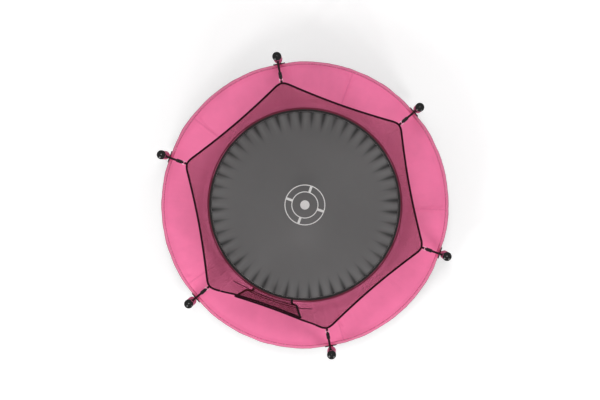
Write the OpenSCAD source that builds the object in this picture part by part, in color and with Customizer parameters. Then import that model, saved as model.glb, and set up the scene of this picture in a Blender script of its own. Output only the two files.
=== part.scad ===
// Round garden trampoline with six net poles and an inner safety net.
// +Z is up, the floor is z = 0, and the origin is on the floor below the middle of the mat.
// Poles stand at 0, 60 ... 300 degrees. The entrance faces -Y, between the poles at 240 and 300.

/* [Frame] */
// Radius of the centreline of the round top rail
frame_r = 880; // [860:5:960]
// Outside diameter of the rail and leg tubes
tube_d = 38; // [35:0.5:42]
// Wall of the rail and leg tubes
tube_wall = 1.5; // [1:0.1:2.5]
// Height of the rail's centreline above the floor
rail_height = 460; // [440:5:600]
// Radial clearance wherever one piece slides into or rests against another
slip = 0.3; // [0.2:0.05:0.4]

/* [Leg sockets] */
// Wall of the T sockets that join rails and legs
socket_wall = 3; // [2:0.25:4]
// Half length of a socket's sleeve along the rail
socket_half_l = 46; // [42:1:50]
// Length of the stub that takes the leg
stub_l = 80; // [60:5:100]
// Gap between two rail ends inside a socket
rail_gap = 3; // [2:0.5:8]
// Diameter of the socket screws
screw_d = 5; // [4:0.25:6]
// Thickness of the socket screws' heads
screw_head_h = 3; // [2:0.5:4]

/* [U legs] */
// Bend radius of the leg tube's centreline
leg_bend_r = 90; // [70:5:110]
// Length of each moulded foot along the floor bar
foot_l = 80; // [50:5:120]
// Wall of the foot between the bar and the floor
foot_wall = 6; // [4:0.5:10]
// Distance from the bend's end to the foot
foot_inset = 40; // [10:5:100]

/* [Net poles] */
// Outside diameter of the pole tubes
pole_d = 28; // [25:0.5:30]
// Wall of the pole tubes
pole_wall = 1.2; // [0.8:0.1:1.6]
// Distance between the leg tube and the pole tube
pole_gap = 38; // [34:1:50]
// Length of the poles below the middle of their lower brackets
pole_tail = 60; // [40:5:70]
// Height at which the lower and upper poles meet
pole_split_z = 1000; // [900:10:1200]
// Height of the poles' upper ends
pole_top_z = 1866; // [1840:5:2000]
// Length of the reduced end that enters the upper pole
swage_l = 60; // [40:5:90]
// Outside diameter of the foam sleeves
foam_d = 56; // [46:1:58]
// Distance between the upper brackets and the foam sleeves
foam_gap = 20; // [10:5:40]
// Diameter of the knob caps
cap_d = 58; // [50:1:62]
// Height of a cap's widest level above its flat base
cap_centre_h = 16; // [14:0.5:18]
// Height of a cap's top above its widest level
cap_dome_h = 13.5; // [12:0.5:20]
// Radius of the cap's rounded shoulder
cap_edge_r = 8; // [5:0.5:10]
// Depth of the cap's plug inside the pole
plug_l = 40; // [25:5:60]

/* [Pole brackets] */
// Distance between a leg socket and the upper bracket
bracket_gap = 2.7; // [1:0.1:20]
// Distance between the lower and upper brackets
bracket_pitch = 150; // [80:5:160]
// Height of a bracket
bracket_h = 50; // [40:2:60]
// Width of the saddle between leg and pole
saddle_w = 26; // [22:1:26]
// Width of the bracket's cross plate
plate_w = 76; // [50:2:90]
// Thickness of the cross plate
plate_t = 8; // [5:0.5:10]
// Distance from the leg tube to the cross plate
plate_offset = 18; // [14:1:20]
// Diameter of the bracket bolts
bolt_d = 8; // [6:0.5:8]
// Thickness of bolt heads and nuts
bolt_head_h = 5; // [4:0.5:6]

/* [Jumping mat] */
// Distance from the mat's edge to the rail's centreline, which the springs bridge
spring_space = 263; // [258:1:290]
// Thickness of the mat fabric
mat_t = 2.4; // [1.5:0.1:4]
// Height of the mat above the rail's centreline
mat_rise = 6; // [4:0.5:7]
// Radial width of the webbing round the edge
webbing_w = 18; // [12:1:24]
// Thickness of the webbing
webbing_t = 4; // [3:0.5:5]
// Depth of the folds at the edge of the fabric
fold_depth = 5; // [2:0.5:7]
// Radial length of the folds
fold_run = 100; // [60:5:140]
// Radial length of the tabs that hold the rings
tab_l = 12; // [10:0.5:14]
// Width of the tabs
tab_w = 24; // [18:1:28]
// Radial reach of the rings beyond the webbing
ring_reach = 38; // [32:1:44]
// Side of the ring wire's section
ring_wire = 4; // [3:0.25:4.5]

/* [Springs] */
// Springs between two neighbouring poles
springs_per_side = 8; // [6:1:10]
// Outside diameter of the spring coils
spring_d = 20; // [16:1:22]
// Thickness of the spring hooks
hook_t = 3; // [2:0.25:3]
// Length of each spring's hooks beyond its coils
hook_l = 18; // [15:1:24]
// Diameter of the hook holes in the rail
hook_hole_d = 8; // [7.5:0.25:9]

/* [Spring pad] */
// Width of the mat's edge that the pad covers
pad_lap = 3; // [0:0.5:12]
// Distance from the rail's centreline to the pad's outer seam
pad_overhang = 25; // [23:0.5:26]
// Thickness of the pad at its inner edge
pad_edge_t = 12; // [8:0.5:16]
// Thickness of the pad at its crown
pad_crown_t = 22; // [18:0.5:26]
// Depth of the dips where the poles press the pad in
pad_dip = 5; // [1:0.5:7]
// Drop of the skirt below the pad's seam
skirt_drop = 68; // [50:2:80]
// Outward flare of the skirt
skirt_flare = 12; // [8:0.5:13]
// Thickness of the skirt
skirt_t = 2; // [1.5:0.1:2.5]
// Width of the ties that hold the pad on the rail
tie_w = 20; // [14:1:24]
// Thickness of the ties
tie_t = 1.5; // [1:0.1:1.7]

/* [Safety net] */
// Distance from the pad's inner edge to the net's foot, which is sewn to the pad
net_inset = 8; // [5:0.5:12]
// Width of the hem tape at the net's foot
hem_w = 8; // [6:0.5:9]
// Thickness of the hem tape
hem_t = 2; // [1.5:0.1:3]
// Height of the net's upper corners
net_top_z = 1800; // [1760:5:1820]
// Distance from a pole's centreline to the net's corner
corner_gap = 170; // [160:2:200]
// Sag of the rim between two corners
rim_sag = 26; // [10:2:40]
// Inward bow of the rim between two corners
rim_bow = 16; // [4:1:20]
// Length over which the rim turns round each corner
rim_turn_l = 48; // [30:1:60]
// Diameter of the rim tape's roll
rim_d = 12; // [8:0.5:13]
// Thickness of the net
net_t = 1.6; // [1:0.1:2]

/* [Entrance] */
// Width of the fixed strip of net beside each entrance pole
strip_w = 78; // [60:2:90]
// Width of the overlap of the two flaps at the rim
overlap_top_w = 440; // [380:5:480]
// Width of the overlap of the two flaps at the foot
overlap_foot_w = 258; // [200:2:300]
// Distance between the two flaps where they overlap
flap_gap = 12; // [11.5:0.5:16]
// Height of the flaps' lower edges above the hem at their roots
flap_lift = 6; // [4:0.5:10]
// Further rise of the flaps' lower edges at their free corners
flap_rise = 34; // [30:1:50]
// Diameter of the binding round the flaps' free edges
binding_d = 10; // [7:0.5:11]

/* [Net straps] */
// Width of the webbing straps
strap_w = 13.5; // [12:0.5:16]
// Thickness of the webbing straps
strap_t = 2; // [1.5:0.1:2.4]
// Length of the adjusting buckles
buckle_l = 42; // [36:2:60]
// Width of the adjusting buckles
buckle_w = 22; // [20:1:26]
// Thickness of the adjusting buckles
buckle_t = 7; // [6:0.5:9]
// Length of the metal ring between strap and corner loop
link_l = 15; // [14:1:22]
// Side of the metal ring's wire
link_wire = 3; // [2.5:0.25:3.5]
// Length of the sewn corner loop
loop_l = 10; // [10:1:28]

/* [Hidden] */
$fn = 64;
poles = 6;
side_deg = 360 / poles;
half_turn = 180;
overshoot = 1;

tube_r = tube_d / 2;
tube_bore_r = tube_r - tube_wall;
socket_bore_r = tube_r + slip;
socket_r = socket_bore_r + socket_wall;
stub_trim = 0.8;
stub_r = socket_r - stub_trim;
socket_half_deg = socket_half_l / frame_r * half_turn / PI;
rail_end_deg = rail_gap / 2 / frame_r * half_turn / PI;
leg_top_z = rail_height - socket_r;
stub_foot_z = leg_top_z - stub_l;
screw_deg = (socket_half_l + stub_r) / 2 / frame_r * half_turn / PI;
screw_head_r = 0.9 * screw_d;
screw_reach = 12;
upper_bracket_z = stub_foot_z - bracket_gap - bracket_h / 2;
bracket_z = [upper_bracket_z - bracket_pitch, upper_bracket_z];
pole_foot_z = bracket_z[0] - pole_tail;
foam_foot_z = upper_bracket_z + bracket_h / 2 + foam_gap;

bar_z = tube_r + slip + foot_wall;
leg_span = 2 * frame_r * sin(side_deg / 2);
bar_r = frame_r * cos(side_deg / 2);
foot_r = tube_r + foot_wall;

pole_r = pole_d / 2;
pole_bore_r = pole_r - pole_wall;
pole_axis_r = frame_r + tube_r + pole_gap + pole_r;
swage_r = pole_bore_r - slip;
swage_step = 12;
foam_bore_r = pole_r + slip;
plate_r = frame_r + tube_r + plate_offset;
saddle_end = 5;
bolt_hole_r = bolt_d / 2 + slip;
bolt_head_r = bolt_d;
nut_bore_r = bolt_d / 2 + slip / 3;
bolt_tail = 3;

mat_r = frame_r - spring_space;
mat_z = rail_height + mat_rise;
folds = poles * springs_per_side;
fabric_r = mat_r - webbing_w - slip;
spring_deg = side_deg / springs_per_side;
wire_hole = ring_wire + 2 * slip;
tab_hole_r = mat_r + slip + (tab_l - wire_hole) / 2;
ring_base_r = tab_hole_r + slip;
ring_tip_r = mat_r + ring_reach;
ring_base_half = tab_w / 2 + ring_wire + tab_l / 4;
ring_tip_half = ring_wire + hook_t;
spring_r = spring_d / 2;
hook_leg = 8;
hook_in_r = ring_tip_r - ring_wire - slip - hook_t;
rail_inner_r = frame_r - sqrt(pow(tube_bore_r, 2) - pow(mat_rise, 2));
hook_out_r = rail_inner_r + slip + hook_t;
coil_in_r = ring_tip_r + hook_l;
coil_out_r = frame_r - tube_r - hook_l;

pad_inner_r = mat_r - pad_lap;
net_foot_r = pad_inner_r + net_inset;
pad_foot_z = rail_height + socket_r + slip;
pad_seam_r = frame_r + pad_overhang;
pad_steps = 96;
pad_flat_w = 2 * net_inset;
pad_hem_z = pad_foot_z + pad_edge_t;
seam_share = 0.4;
seam_z = pad_foot_z + seam_share * pad_edge_t;
pad_under_w = 5;
pad_round_w = 4;
crown_share = 0.6;
crown_rise = 0.7;
dip_deg = 9;
ripple_up = 1;
ripple_down = 0.5;
crown_r = (pad_inner_r + pad_seam_r) / 2;

hem_foot_z = pad_hem_z + slip;
net_foot_z = hem_foot_z + hem_t + slip;
rim_r = pole_axis_r - corner_gap;
rim_corner_r = rim_r + rim_turn_l / 4;
side_l = 2 * rim_corner_r * sin(side_deg / 2);
rim_steps = 10;
rim_turn_share = rim_turn_l / side_l;
rim_shares = concat(
    [0, rim_turn_share / 2],
    [for (i = [0:rim_steps]) mix(rim_turn_share, 1 - rim_turn_share, i / rim_steps)],
    [1 - rim_turn_share / 2, 1]
);
net_rows = 5;
roll_sides = 6;
seam_deg = slip / 2 / net_foot_r * half_turn / PI;
entrance = 4;
root_share = strip_w / side_l;
free_top_share = 0.5 + overlap_top_w / 2 / side_l;
foot_side_l = net_foot_r * side_deg * PI / half_turn;
free_foot_share = 0.5 + overlap_foot_w / 2 / foot_side_l;
root_gap = 3 * slip;
root_gap_share = root_gap / 2 / side_l;
flap_columns = 12;
flap_split = 0.2;
binding_r = binding_d / 2;
binding_start = (rim_d / 2 - root_gap / 2) / side_l / (free_top_share - root_share);

cap_base_z = pole_top_z + slip;
cap_centre_z = cap_base_z + cap_centre_h;
cap_r = cap_d / 2;
cap_shoulder_r = cap_r - cap_edge_r;
cap_crown_r = (cap_shoulder_r * cap_shoulder_r + cap_dome_h * cap_dome_h - cap_edge_r * cap_edge_r)
    / (2 * (cap_dome_h - cap_edge_r));
cap_crown_end = cap_crown_r * cap_shoulder_r / (cap_crown_r - cap_edge_r);
lug_bar = 4;
lug_window = 6;
lug_side = 3;
lug_sink = 3;
lug_drop = 6;
lug_x = pole_axis_r - cap_r - lug_bar - lug_window + lug_sink;
lug_z = cap_centre_z - lug_drop;
lug_half_w = strap_w / 2 + lug_side;
eye_r = norm([lug_bar, lug_bar]) / 2 + slip;
link_eye_r = norm([link_wire, link_wire]) / 2 + slip;
strap_from = [rim_r, net_top_z];
strap_to = [lug_x + lug_bar / 2, lug_z];
strap_tilt = atan2(strap_to[1] - strap_from[1], strap_to[0] - strap_from[0]);
strap_reach = norm(strap_to - strap_from);
loop_eye_s = rim_d / 2 + loop_l;
link_eye_s = loop_eye_s + link_l;

rail_nodes = [for (k = [1:poles]) str("top_rail_", k)];
leg_nodes = ["u_leg_1", "u_leg_2", "u_leg_3"];
lower_pole_nodes = [for (k = [1:poles]) str("lower_pole_", k)];
upper_pole_nodes = [for (k = [1:poles]) str("upper_pole_", k)];
foam_nodes = [for (k = [1:poles]) str("foam_sleeve_", k)];
panel_sides = [0, 1, 2, 3, 5];
panel_nodes = [for (i = [1:len(panel_sides)]) str("net_panel_", i)];

// ---------------------------------------------------------------- helpers

function smooth(t) = let (c = min(1, max(0, t))) c * c * (3 - 2 * c);
function unit(v) = v / norm(v);
function mix(a, b, t) = a + (b - a) * t;

// Copies of the children at every pole
module at_poles() {
    for (k = [0:poles - 1])
        rotate([0, 0, k * side_deg])
            children();
}

// Copies of the children at every spring
module at_springs() {
    for (i = [0:folds - 1])
        rotate([0, 0, (i + 0.5) * spring_deg])
            children();
}

// An outline given as [radius, height], made w wide across the radius
module profile(w) {
    rotate([90, 0, 0])
        linear_extrude(w, center = true)
            children();
}

// A cylinder of radius r whose axis runs outward from radius a to radius b at height z
module radial_rod(r, a, b, z) {
    translate([a, 0, z])
        rotate([0, 90, 0])
            cylinder(r = r, h = b - a);
}

// Triangles between consecutive loops of n points. The second half of each loop is split the other way,
// so that the two walls of a thin sheet have the same facets.
function band(loops, n, closed) = [
    for (i = [0:loops - (closed ? 1 : 2)], j = [0:n - 1])
        let (a = i * n + j, b = i * n + (j + 1) % n)
        let (c = (i + 1) % loops * n + (j + 1) % n, d = (i + 1) % loops * n + j)
        each j < n / 2 ? [[a, b, c], [a, c, d]] : [[a, b, d], [b, c, d]]
];

// A ladder of triangles across one loop of n points, n even, from its first and last points to its
// middle ones
function cap_face(first, n, flip) = [
    for (j = [0:n / 2 - 2])
        let (a = first + j, b = first + j + 1, c = first + n - 2 - j, d = first + n - 1 - j)
        each flip ? [[a, c, b], [a, d, c]] : [[a, b, c], [a, c, d]]
];

// A closed body through a list of loops that all have the same number of points
module loft(loops, closed = false) {
    n = len(loops[0]);
    count = len(loops);
    ends = closed ? [] : concat(cap_face(0, n, true), cap_face((count - 1) * n, n, false));
    polyhedron([for (l = loops) each l], concat(band(count, n, closed), ends));
}

// A round roll of radius r that follows a path
module roll(path, r) {
    last = len(path) - 1;
    loft([
        for (i = [0:last])
            let (t = unit(path[min(i + 1, last)] - path[max(i - 1, 0)]))
            let (side = unit(cross(t, [path[i][0], path[i][1], 0])), out = cross(side, t))
            [for (j = [0:roll_sides - 1])
                let (a = -(j + 0.5) * 360 / roll_sides)
                path[i] + r * (cos(a) * out + sin(a) * side)]
    ]);
}

// ---------------------------------------------------------------- frame

module top_rail(k) {
    color("silver")
        difference() {
            rotate([0, 0, k * side_deg + rail_end_deg])
                rotate_extrude(angle = side_deg - 2 * rail_end_deg, $fn = 180)
                    translate([frame_r, rail_height])
                        difference() {
                            circle(tube_r);
                            circle(tube_bore_r);
                        }
            for (i = [0:springs_per_side - 1])
                rotate([0, 0, k * side_deg + (i + 0.5) * spring_deg])
                    radial_rod(hook_hole_d / 2, frame_r - tube_r - overshoot, frame_r, mat_z);
            for (a = [screw_deg, side_deg - screw_deg])
                rotate([0, 0, k * side_deg + a])
                    translate([frame_r, 0, rail_height - tube_r - overshoot])
                        cylinder(r = screw_d / 2 + slip, h = tube_r);
        }
}

module leg_sockets() {
    color("silver")
        at_poles()
            difference() {
                union() {
                    rotate([0, 0, -socket_half_deg])
                        rotate_extrude(angle = 2 * socket_half_deg, $fn = 180)
                            translate([frame_r, rail_height])
                                circle(socket_r);
                    translate([frame_r, 0, stub_foot_z])
                        cylinder(r = stub_r, h = stub_l + socket_r);
                }
                rotate([0, 0, -2 * socket_half_deg])
                    rotate_extrude(angle = 4 * socket_half_deg, $fn = 180)
                        translate([frame_r, rail_height])
                            circle(socket_bore_r);
                translate([frame_r, 0, stub_foot_z - overshoot])
                    cylinder(r = socket_bore_r, h = stub_l + overshoot);
                for (a = [-screw_deg, screw_deg])
                    rotate([0, 0, a])
                        translate([frame_r, 0, rail_height - socket_r - overshoot])
                            cylinder(r = screw_d / 2 + slip, h = socket_r);
            }
}

module socket_screws() {
    color("dimgray")
        at_poles()
            for (a = [-screw_deg, screw_deg])
                rotate([0, 0, a])
                    translate([frame_r, 0, rail_height - socket_r - slip - screw_head_h]) {
                        cylinder(r = screw_head_r, h = screw_head_h);
                        cylinder(r = screw_d / 2, h = screw_reach);
                    }
}

// The centreline shape of one U leg, drawn with a tube of radius r, in the plane of its two poles
module u_tube(r) {
    rise = leg_top_z - slip - bar_z - leg_bend_r;
    half = leg_span / 2;
    for (s = [-1, 1]) {
        translate([s * half, 0, bar_z + leg_bend_r])
            cylinder(r = r, h = rise);
        translate([s * (half - leg_bend_r), 0, bar_z + leg_bend_r])
            rotate([90, 0, 0])
                rotate([0, 0, s > 0 ? -90 : 180])
                    rotate_extrude(angle = 90)
                        translate([leg_bend_r, 0])
                            circle(r);
    }
    translate([leg_bend_r - half, 0, bar_z])
        rotate([0, 90, 0])
            cylinder(r = r, h = leg_span - 2 * leg_bend_r);
}

module u_leg(pair) {
    color("silver")
        rotate([0, 0, pair * 2 * side_deg])
            difference() {
                rotate([0, 0, side_deg / 2 - 90])
                    translate([0, bar_r, 0])
                        u_tube(tube_r);
                rotate([0, 0, side_deg / 2 - 90])
                    translate([0, bar_r, 0])
                        u_tube(tube_bore_r);
                for (a = [0, side_deg], z = bracket_z)
                    rotate([0, 0, a])
                        radial_rod(bolt_hole_r, frame_r - 2 * tube_r, frame_r + 2 * tube_r, z);
            }
}

module leg_feet() {
    color([0.08, 0.08, 0.09])
        for (pair = [0:poles / 2 - 1], s = [-1, 1])
            rotate([0, 0, pair * 2 * side_deg + side_deg / 2 - 90])
                translate([s * (leg_span / 2 - leg_bend_r - foot_inset - foot_l / 2), bar_r, bar_z])
                    rotate([90, 0, 90])
                        linear_extrude(foot_l, center = true)
                            difference() {
                                union() {
                                    circle(foot_r);
                                    translate([-foot_r, -bar_z])
                                        square([2 * foot_r, bar_z]);
                                }
                                circle(tube_r + slip);
                            }
}

// ---------------------------------------------------------------- net poles

module lower_pole(k) {
    color("silver")
        rotate([0, 0, k * side_deg])
            difference() {
                translate([pole_axis_r, 0, 0])
                    rotate_extrude()
                        polygon([
                            [pole_bore_r, pole_foot_z],
                            [pole_r, pole_foot_z],
                            [pole_r, pole_split_z],
                            [swage_r, pole_split_z],
                            [swage_r, pole_split_z + swage_l],
                            [swage_r - pole_wall, pole_split_z + swage_l],
                            [swage_r - pole_wall, pole_split_z - swage_step],
                            [pole_bore_r, pole_split_z - swage_step]
                        ]);
                for (z = bracket_z)
                    radial_rod(bolt_hole_r, pole_axis_r - pole_d, pole_axis_r + pole_d, z);
            }
}

module upper_pole(k) {
    color("silver")
        rotate([0, 0, k * side_deg])
            translate([pole_axis_r, 0, pole_split_z + slip])
                difference() {
                    cylinder(r = pole_r, h = pole_top_z - pole_split_z - slip);
                    translate([0, 0, -overshoot])
                        cylinder(r = pole_bore_r, h = pole_top_z);
                }
}

module foam_sleeve(k) {
    color([0.88, 0.42, 0.58])
        rotate([0, 0, k * side_deg])
            translate([pole_axis_r, 0, foam_foot_z])
                difference() {
                    cylinder(r = foam_d / 2, h = pole_top_z - foam_foot_z);
                    translate([0, 0, -overshoot])
                        cylinder(r = foam_bore_r, h = pole_top_z);
                }
}

module pole_plugs() {
    plug_flange = 6;
    plug_depth = 18;
    color([0.08, 0.08, 0.09])
        at_poles()
            translate([pole_axis_r, 0, pole_foot_z - slip - plug_flange]) {
                cylinder(r = pole_r, h = plug_flange);
                cylinder(r = swage_r, h = plug_flange + plug_depth);
            }
}

// Half of a cap's section: a ball's foot, and above its widest level a flatter crown with a round shoulder.
module cap_profile() {
    intersection() {
        circle(r = cap_r);
        translate([0, -cap_centre_h])
            square([cap_r, cap_centre_h]);
    }
    intersection() {
        translate([0, cap_dome_h - cap_crown_r])
            circle(r = cap_crown_r);
        square([cap_crown_end, cap_dome_h]);
    }
    translate([cap_shoulder_r, 0])
        intersection() {
            circle(r = cap_edge_r);
            square(cap_edge_r);
        }
}

module pole_caps() {
    color([0.05, 0.05, 0.055])
        at_poles()
            difference() {
                union() {
                    translate([pole_axis_r, 0, cap_centre_z])
                        rotate_extrude()
                            cap_profile();
                    translate([pole_axis_r, 0, cap_base_z - plug_l])
                        cylinder(r = swage_r, h = plug_l + cap_centre_h);
                    translate([lug_x, -lug_half_w, lug_z - lug_bar / 2])
                        cube([pole_axis_r - lug_x, 2 * lug_half_w, lug_bar]);
                }
                translate([lug_x + lug_bar, -strap_w / 2 - slip, lug_z - cap_d])
                    cube([lug_window, strap_w + 2 * slip, 2 * cap_d]);
            }
}

module pole_bracket(z) {
    saddle_l = pole_axis_r - frame_r - saddle_end;
    difference() {
        union() {
            translate([frame_r, -saddle_w / 2, z - bracket_h / 2])
                cube([saddle_l, saddle_w, bracket_h]);
            translate([plate_r, -plate_w / 2, z - bracket_h / 2])
                cube([plate_t, plate_w, bracket_h]);
        }
        translate([frame_r, 0, z - bracket_h])
            cylinder(r = tube_r + slip, h = 2 * bracket_h);
        translate([pole_axis_r, 0, z - bracket_h])
            cylinder(r = pole_r + slip, h = 2 * bracket_h);
        radial_rod(bolt_hole_r, frame_r, pole_axis_r, z);
    }
}

module pole_brackets() {
    color([0.06, 0.06, 0.065])
        at_poles()
            for (z = bracket_z)
                pole_bracket(z);
}

module bracket_bolts() {
    head_x = pole_axis_r + pole_r + slip;
    color("gray")
        at_poles()
            for (z = bracket_z) {
                radial_rod(bolt_head_r, head_x, head_x + bolt_head_h, z);
                radial_rod(bolt_d / 2, frame_r - tube_r - bolt_head_h - bolt_tail, head_x + slip, z);
            }
}

module bracket_nuts() {
    nut_x = frame_r - tube_r - slip - bolt_head_h;
    color("gray")
        at_poles()
            for (z = bracket_z)
                difference() {
                    translate([nut_x, 0, z])
                        rotate([0, 90, 0])
                            cylinder(r = bolt_d, h = bolt_head_h, $fn = 6);
                    radial_rod(nut_bore_r, nut_x - overshoot, frame_r, z);
                }
}

// ---------------------------------------------------------------- mat and springs

// Height of the fabric above the mat's plane, at step i of two per fold
function fold_at(r, i) = i % 2 == 0 ? -fold_depth * smooth((r - fabric_r + fold_run) / fold_run) : 0;

module jumping_mat() {
    steps = 2 * folds;
    flat_share = 1 / 3;
    fold_shares = [0, 0.35, 0.7, 1];
    radii = [for (t = fold_shares) fabric_r - fold_run * (1 - t)];
    rings = concat([fabric_r * flat_share], radii);
    last = len(rings) - 1;
    function ring(r, lift) = [
        for (i = [0:steps - 1])
            let (a = i * 360 / steps)
            [r * cos(a), r * sin(a), mat_z + lift + fold_at(r, i)]
    ];
    loops = concat(
        [for (i = [0:last]) ring(rings[i], mat_t / 2)],
        [for (i = [last:-1:0]) ring(rings[i], -mat_t / 2)]
    );
    color([0.33, 0.33, 0.34])
        loft(loops);
}

module mat_webbing() {
    color([0.12, 0.12, 0.125])
        rotate_extrude($fn = 180)
            translate([mat_r - webbing_w, mat_z - webbing_t / 2])
                square([webbing_w, webbing_t]);
}

module ring_tabs() {
    tab_t = wire_hole + 2 * strap_t;
    color([0.12, 0.12, 0.125])
        at_springs()
            difference() {
                translate([mat_r + slip, -tab_w / 2, mat_z - tab_t / 2])
                    cube([tab_l, tab_w, tab_t]);
                translate([tab_hole_r, -tab_w, mat_z - wire_hole / 2])
                    cube([wire_hole, 2 * tab_w, wire_hole]);
            }
}

module v_rings() {
    color("silver")
        at_springs()
            translate([0, 0, mat_z - ring_wire / 2])
                linear_extrude(ring_wire)
                    difference() {
                        polygon([
                            [ring_base_r, -ring_base_half],
                            [ring_tip_r, -ring_tip_half],
                            [ring_tip_r, ring_tip_half],
                            [ring_base_r, ring_base_half]
                        ]);
                        polygon([
                            [ring_base_r + ring_wire, ring_wire - ring_base_half],
                            [ring_tip_r - ring_wire, ring_wire - ring_tip_half],
                            [ring_tip_r - ring_wire, ring_tip_half - ring_wire],
                            [ring_base_r + ring_wire, ring_base_half - ring_wire]
                        ]);
                    }
}

module springs() {
    over_z = mat_z + ring_wire / 2 + slip;
    rod_z = mat_z - hook_t / 2;
    bite = 2;
    color("silver")
        at_springs() {
            radial_rod(spring_r, coil_in_r, coil_out_r, mat_z);
            profile(hook_t)
                polygon([
                    [coil_in_r + bite, rod_z],
                    [coil_in_r + bite, over_z + hook_t],
                    [hook_in_r, over_z + hook_t],
                    [hook_in_r, over_z - hook_leg],
                    [hook_in_r + hook_t, over_z - hook_leg],
                    [hook_in_r + hook_t, over_z],
                    [coil_in_r - hook_t, over_z],
                    [coil_in_r - hook_t, rod_z]
                ]);
            profile(hook_t)
                polygon([
                    [coil_out_r - bite, rod_z],
                    [hook_out_r - hook_t, rod_z],
                    [hook_out_r - hook_t, rod_z - hook_leg],
                    [hook_out_r, rod_z - hook_leg],
                    [hook_out_r, rod_z + hook_t],
                    [coil_out_r - bite, rod_z + hook_t]
                ]);
        }
}

// ---------------------------------------------------------------- spring pad

// How near an angle is to a pole: 1 at the pole, 0 a few steps away
function pole_near(a) = let (d = abs(a - side_deg * round(a / side_deg))) smooth(1 - d / dip_deg);
function pad_ripple(i) = (i % 4 == 0 ? ripple_up : 0) - (i % 4 == 2 ? ripple_down : 0);
function pad_edge_r(i) = pad_seam_r - pad_dip * pole_near(i * 360 / pad_steps);

module spring_pad() {
    crown = pad_crown_t - pad_edge_t;
    color([0.95, 0.50, 0.67])
        loft([
            for (i = [0:pad_steps - 1])
                let (a = i * 360 / pad_steps)
                let (dip = pad_dip * pole_near(a), ripple = pad_ripple(i), seam_r = pad_edge_r(i))
                [for (p = [
                    [pad_inner_r, pad_foot_z],
                    [seam_r - pad_under_w, pad_foot_z],
                    [seam_r, seam_z],
                    [seam_r - pad_round_w, pad_hem_z - dip / 2],
                    [mix(crown_r, pad_seam_r, crown_share), pad_hem_z + crown_rise * crown - dip + ripple],
                    [crown_r, pad_hem_z + crown + ripple],
                    [mix(crown_r, pad_inner_r, crown_share), pad_hem_z + crown_rise * crown + ripple / 2],
                    [pad_inner_r + pad_flat_w, pad_hem_z],
                    [pad_inner_r, pad_hem_z]
                ]) [p[0] * cos(a), p[0] * sin(a), p[1]]]
        ], closed = true);
}

module pad_skirt() {
    shares = [0, 0.3, 1];
    last = len(shares) - 1;
    function skirt_at(i, s, t) =
        let (ripple = pad_ripple(i) / 2 * s)
        [pad_edge_r(i) + slip + skirt_flare * sqrt(s) + ripple + t, seam_z - skirt_drop * s];
    color([0.90, 0.45, 0.62])
        loft([
            for (i = [0:pad_steps - 1])
                let (a = i * 360 / pad_steps)
                let (inside = [for (s = shares) skirt_at(i, s, 0)])
                let (outside = [for (j = [last:-1:0]) skirt_at(i, shares[j], skirt_t)])
                [for (p = concat(inside, outside)) [p[0] * cos(a), p[0] * sin(a), p[1]]]
        ], closed = true);
}

module pad_ties() {
    tie_root_w = 4 * tie_t;
    color([0.12, 0.12, 0.125])
        for (k = [0:poles - 1], s = [1, 3])
            rotate([0, 0, k * side_deg + s * springs_per_side / 4 * spring_deg])
                translate([frame_r, 0, rail_height])
                    profile(tie_w)
                        difference() {
                            union() {
                                circle(tube_r + slip + tie_t);
                                translate([-tie_root_w / 2, 0])
                                    square([tie_root_w, pad_foot_z - slip - rail_height]);
                            }
                            circle(tube_r + slip);
                        }
}

// ---------------------------------------------------------------- safety net

// Points of the net on side k. u runs from one pole to the next, v from the foot to the rim.
// The rim's sides would meet a little beyond its corners, and rim_turn(d) rounds it at d from there.
function rim_turn(d) = pow(max(0, rim_turn_l - d), 2) / rim_turn_l / 4;
function rim_point(k, u) =
    let (a = rim_corner_r * [cos(k * side_deg), sin(k * side_deg)])
    let (b = rim_corner_r * [cos((k + 1) * side_deg), sin((k + 1) * side_deg)])
    let (belly = 4 * u * (1 - u), p = mix(a, b, u))
    let (inward = rim_bow * belly + rim_turn(min(u, 1 - u) * side_l))
    let (q = p - inward * unit(p))
    [q[0], q[1], net_top_z - rim_sag * belly];
function foot_point(k, u, z) =
    let (a = (k + u) * side_deg)
    [net_foot_r * cos(a), net_foot_r * sin(a), z];
function net_point(k, u, v, foot_z) =
    mix(foot_point(k, u, foot_z), rim_point(k, u) - [0, 0, rim_d / 2 + slip], v);
function outward(p, d) = p + d * unit([p[0], p[1], 0]);

// A closed thin sheet through a grid of points, each given with its outward direction taken from the axis
module sheet(grid, t) {
    rows = len(grid[0]);
    loft([
        for (column = grid)
            concat(
                [for (p = column) outward(p, t / 2)],
                [for (j = [rows - 1:-1:0]) outward(column[j], -t / 2)]
            )
    ]);
}

// A piece of the net on side k, between the shares from and to of that side
module net_piece(k, from, to) {
    shares = concat([from], [for (u = rim_shares) if (u > from && u < to) u], [to]);
    sheet([
        for (u = shares)
            [for (j = [0:net_rows]) net_point(k, u, j / net_rows, net_foot_z)]
    ], net_t);
}

module net_panel(k) {
    color([0.62, 0.28, 0.40])
        net_piece(k, seam_deg / side_deg, 1 - seam_deg / side_deg);
}

module entrance_strips() {
    edge = seam_deg / side_deg;
    color([0.62, 0.28, 0.40]) {
        net_piece(entrance, edge, root_share - root_gap_share);
        net_piece(entrance, 1 - root_share + root_gap_share, 1 - edge);
    }
}

// A flap is drawn along its own share s, from 0 at its root to 1 at its free edge.
// way is 1 for the inner flap, rooted beside pole 240, and -1 for the outer one, rooted beside pole 300.
function flap_u(s, v, way, inset) =
    let (free = mix(free_foot_share, free_top_share, v) - inset / mix(foot_side_l, side_l, v))
    let (u = mix(root_share + root_gap_share, free, s))
    way > 0 ? u : 1 - u;
function flap_side(s) = flap_gap / 2 * smooth(s / flap_split);
function flap_point(s, v, way, inset) =
    let (foot_z = net_foot_z + flap_lift + flap_rise * s)
    outward(net_point(entrance, flap_u(s, v, way, inset), v, foot_z), -way * flap_side(s));

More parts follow.
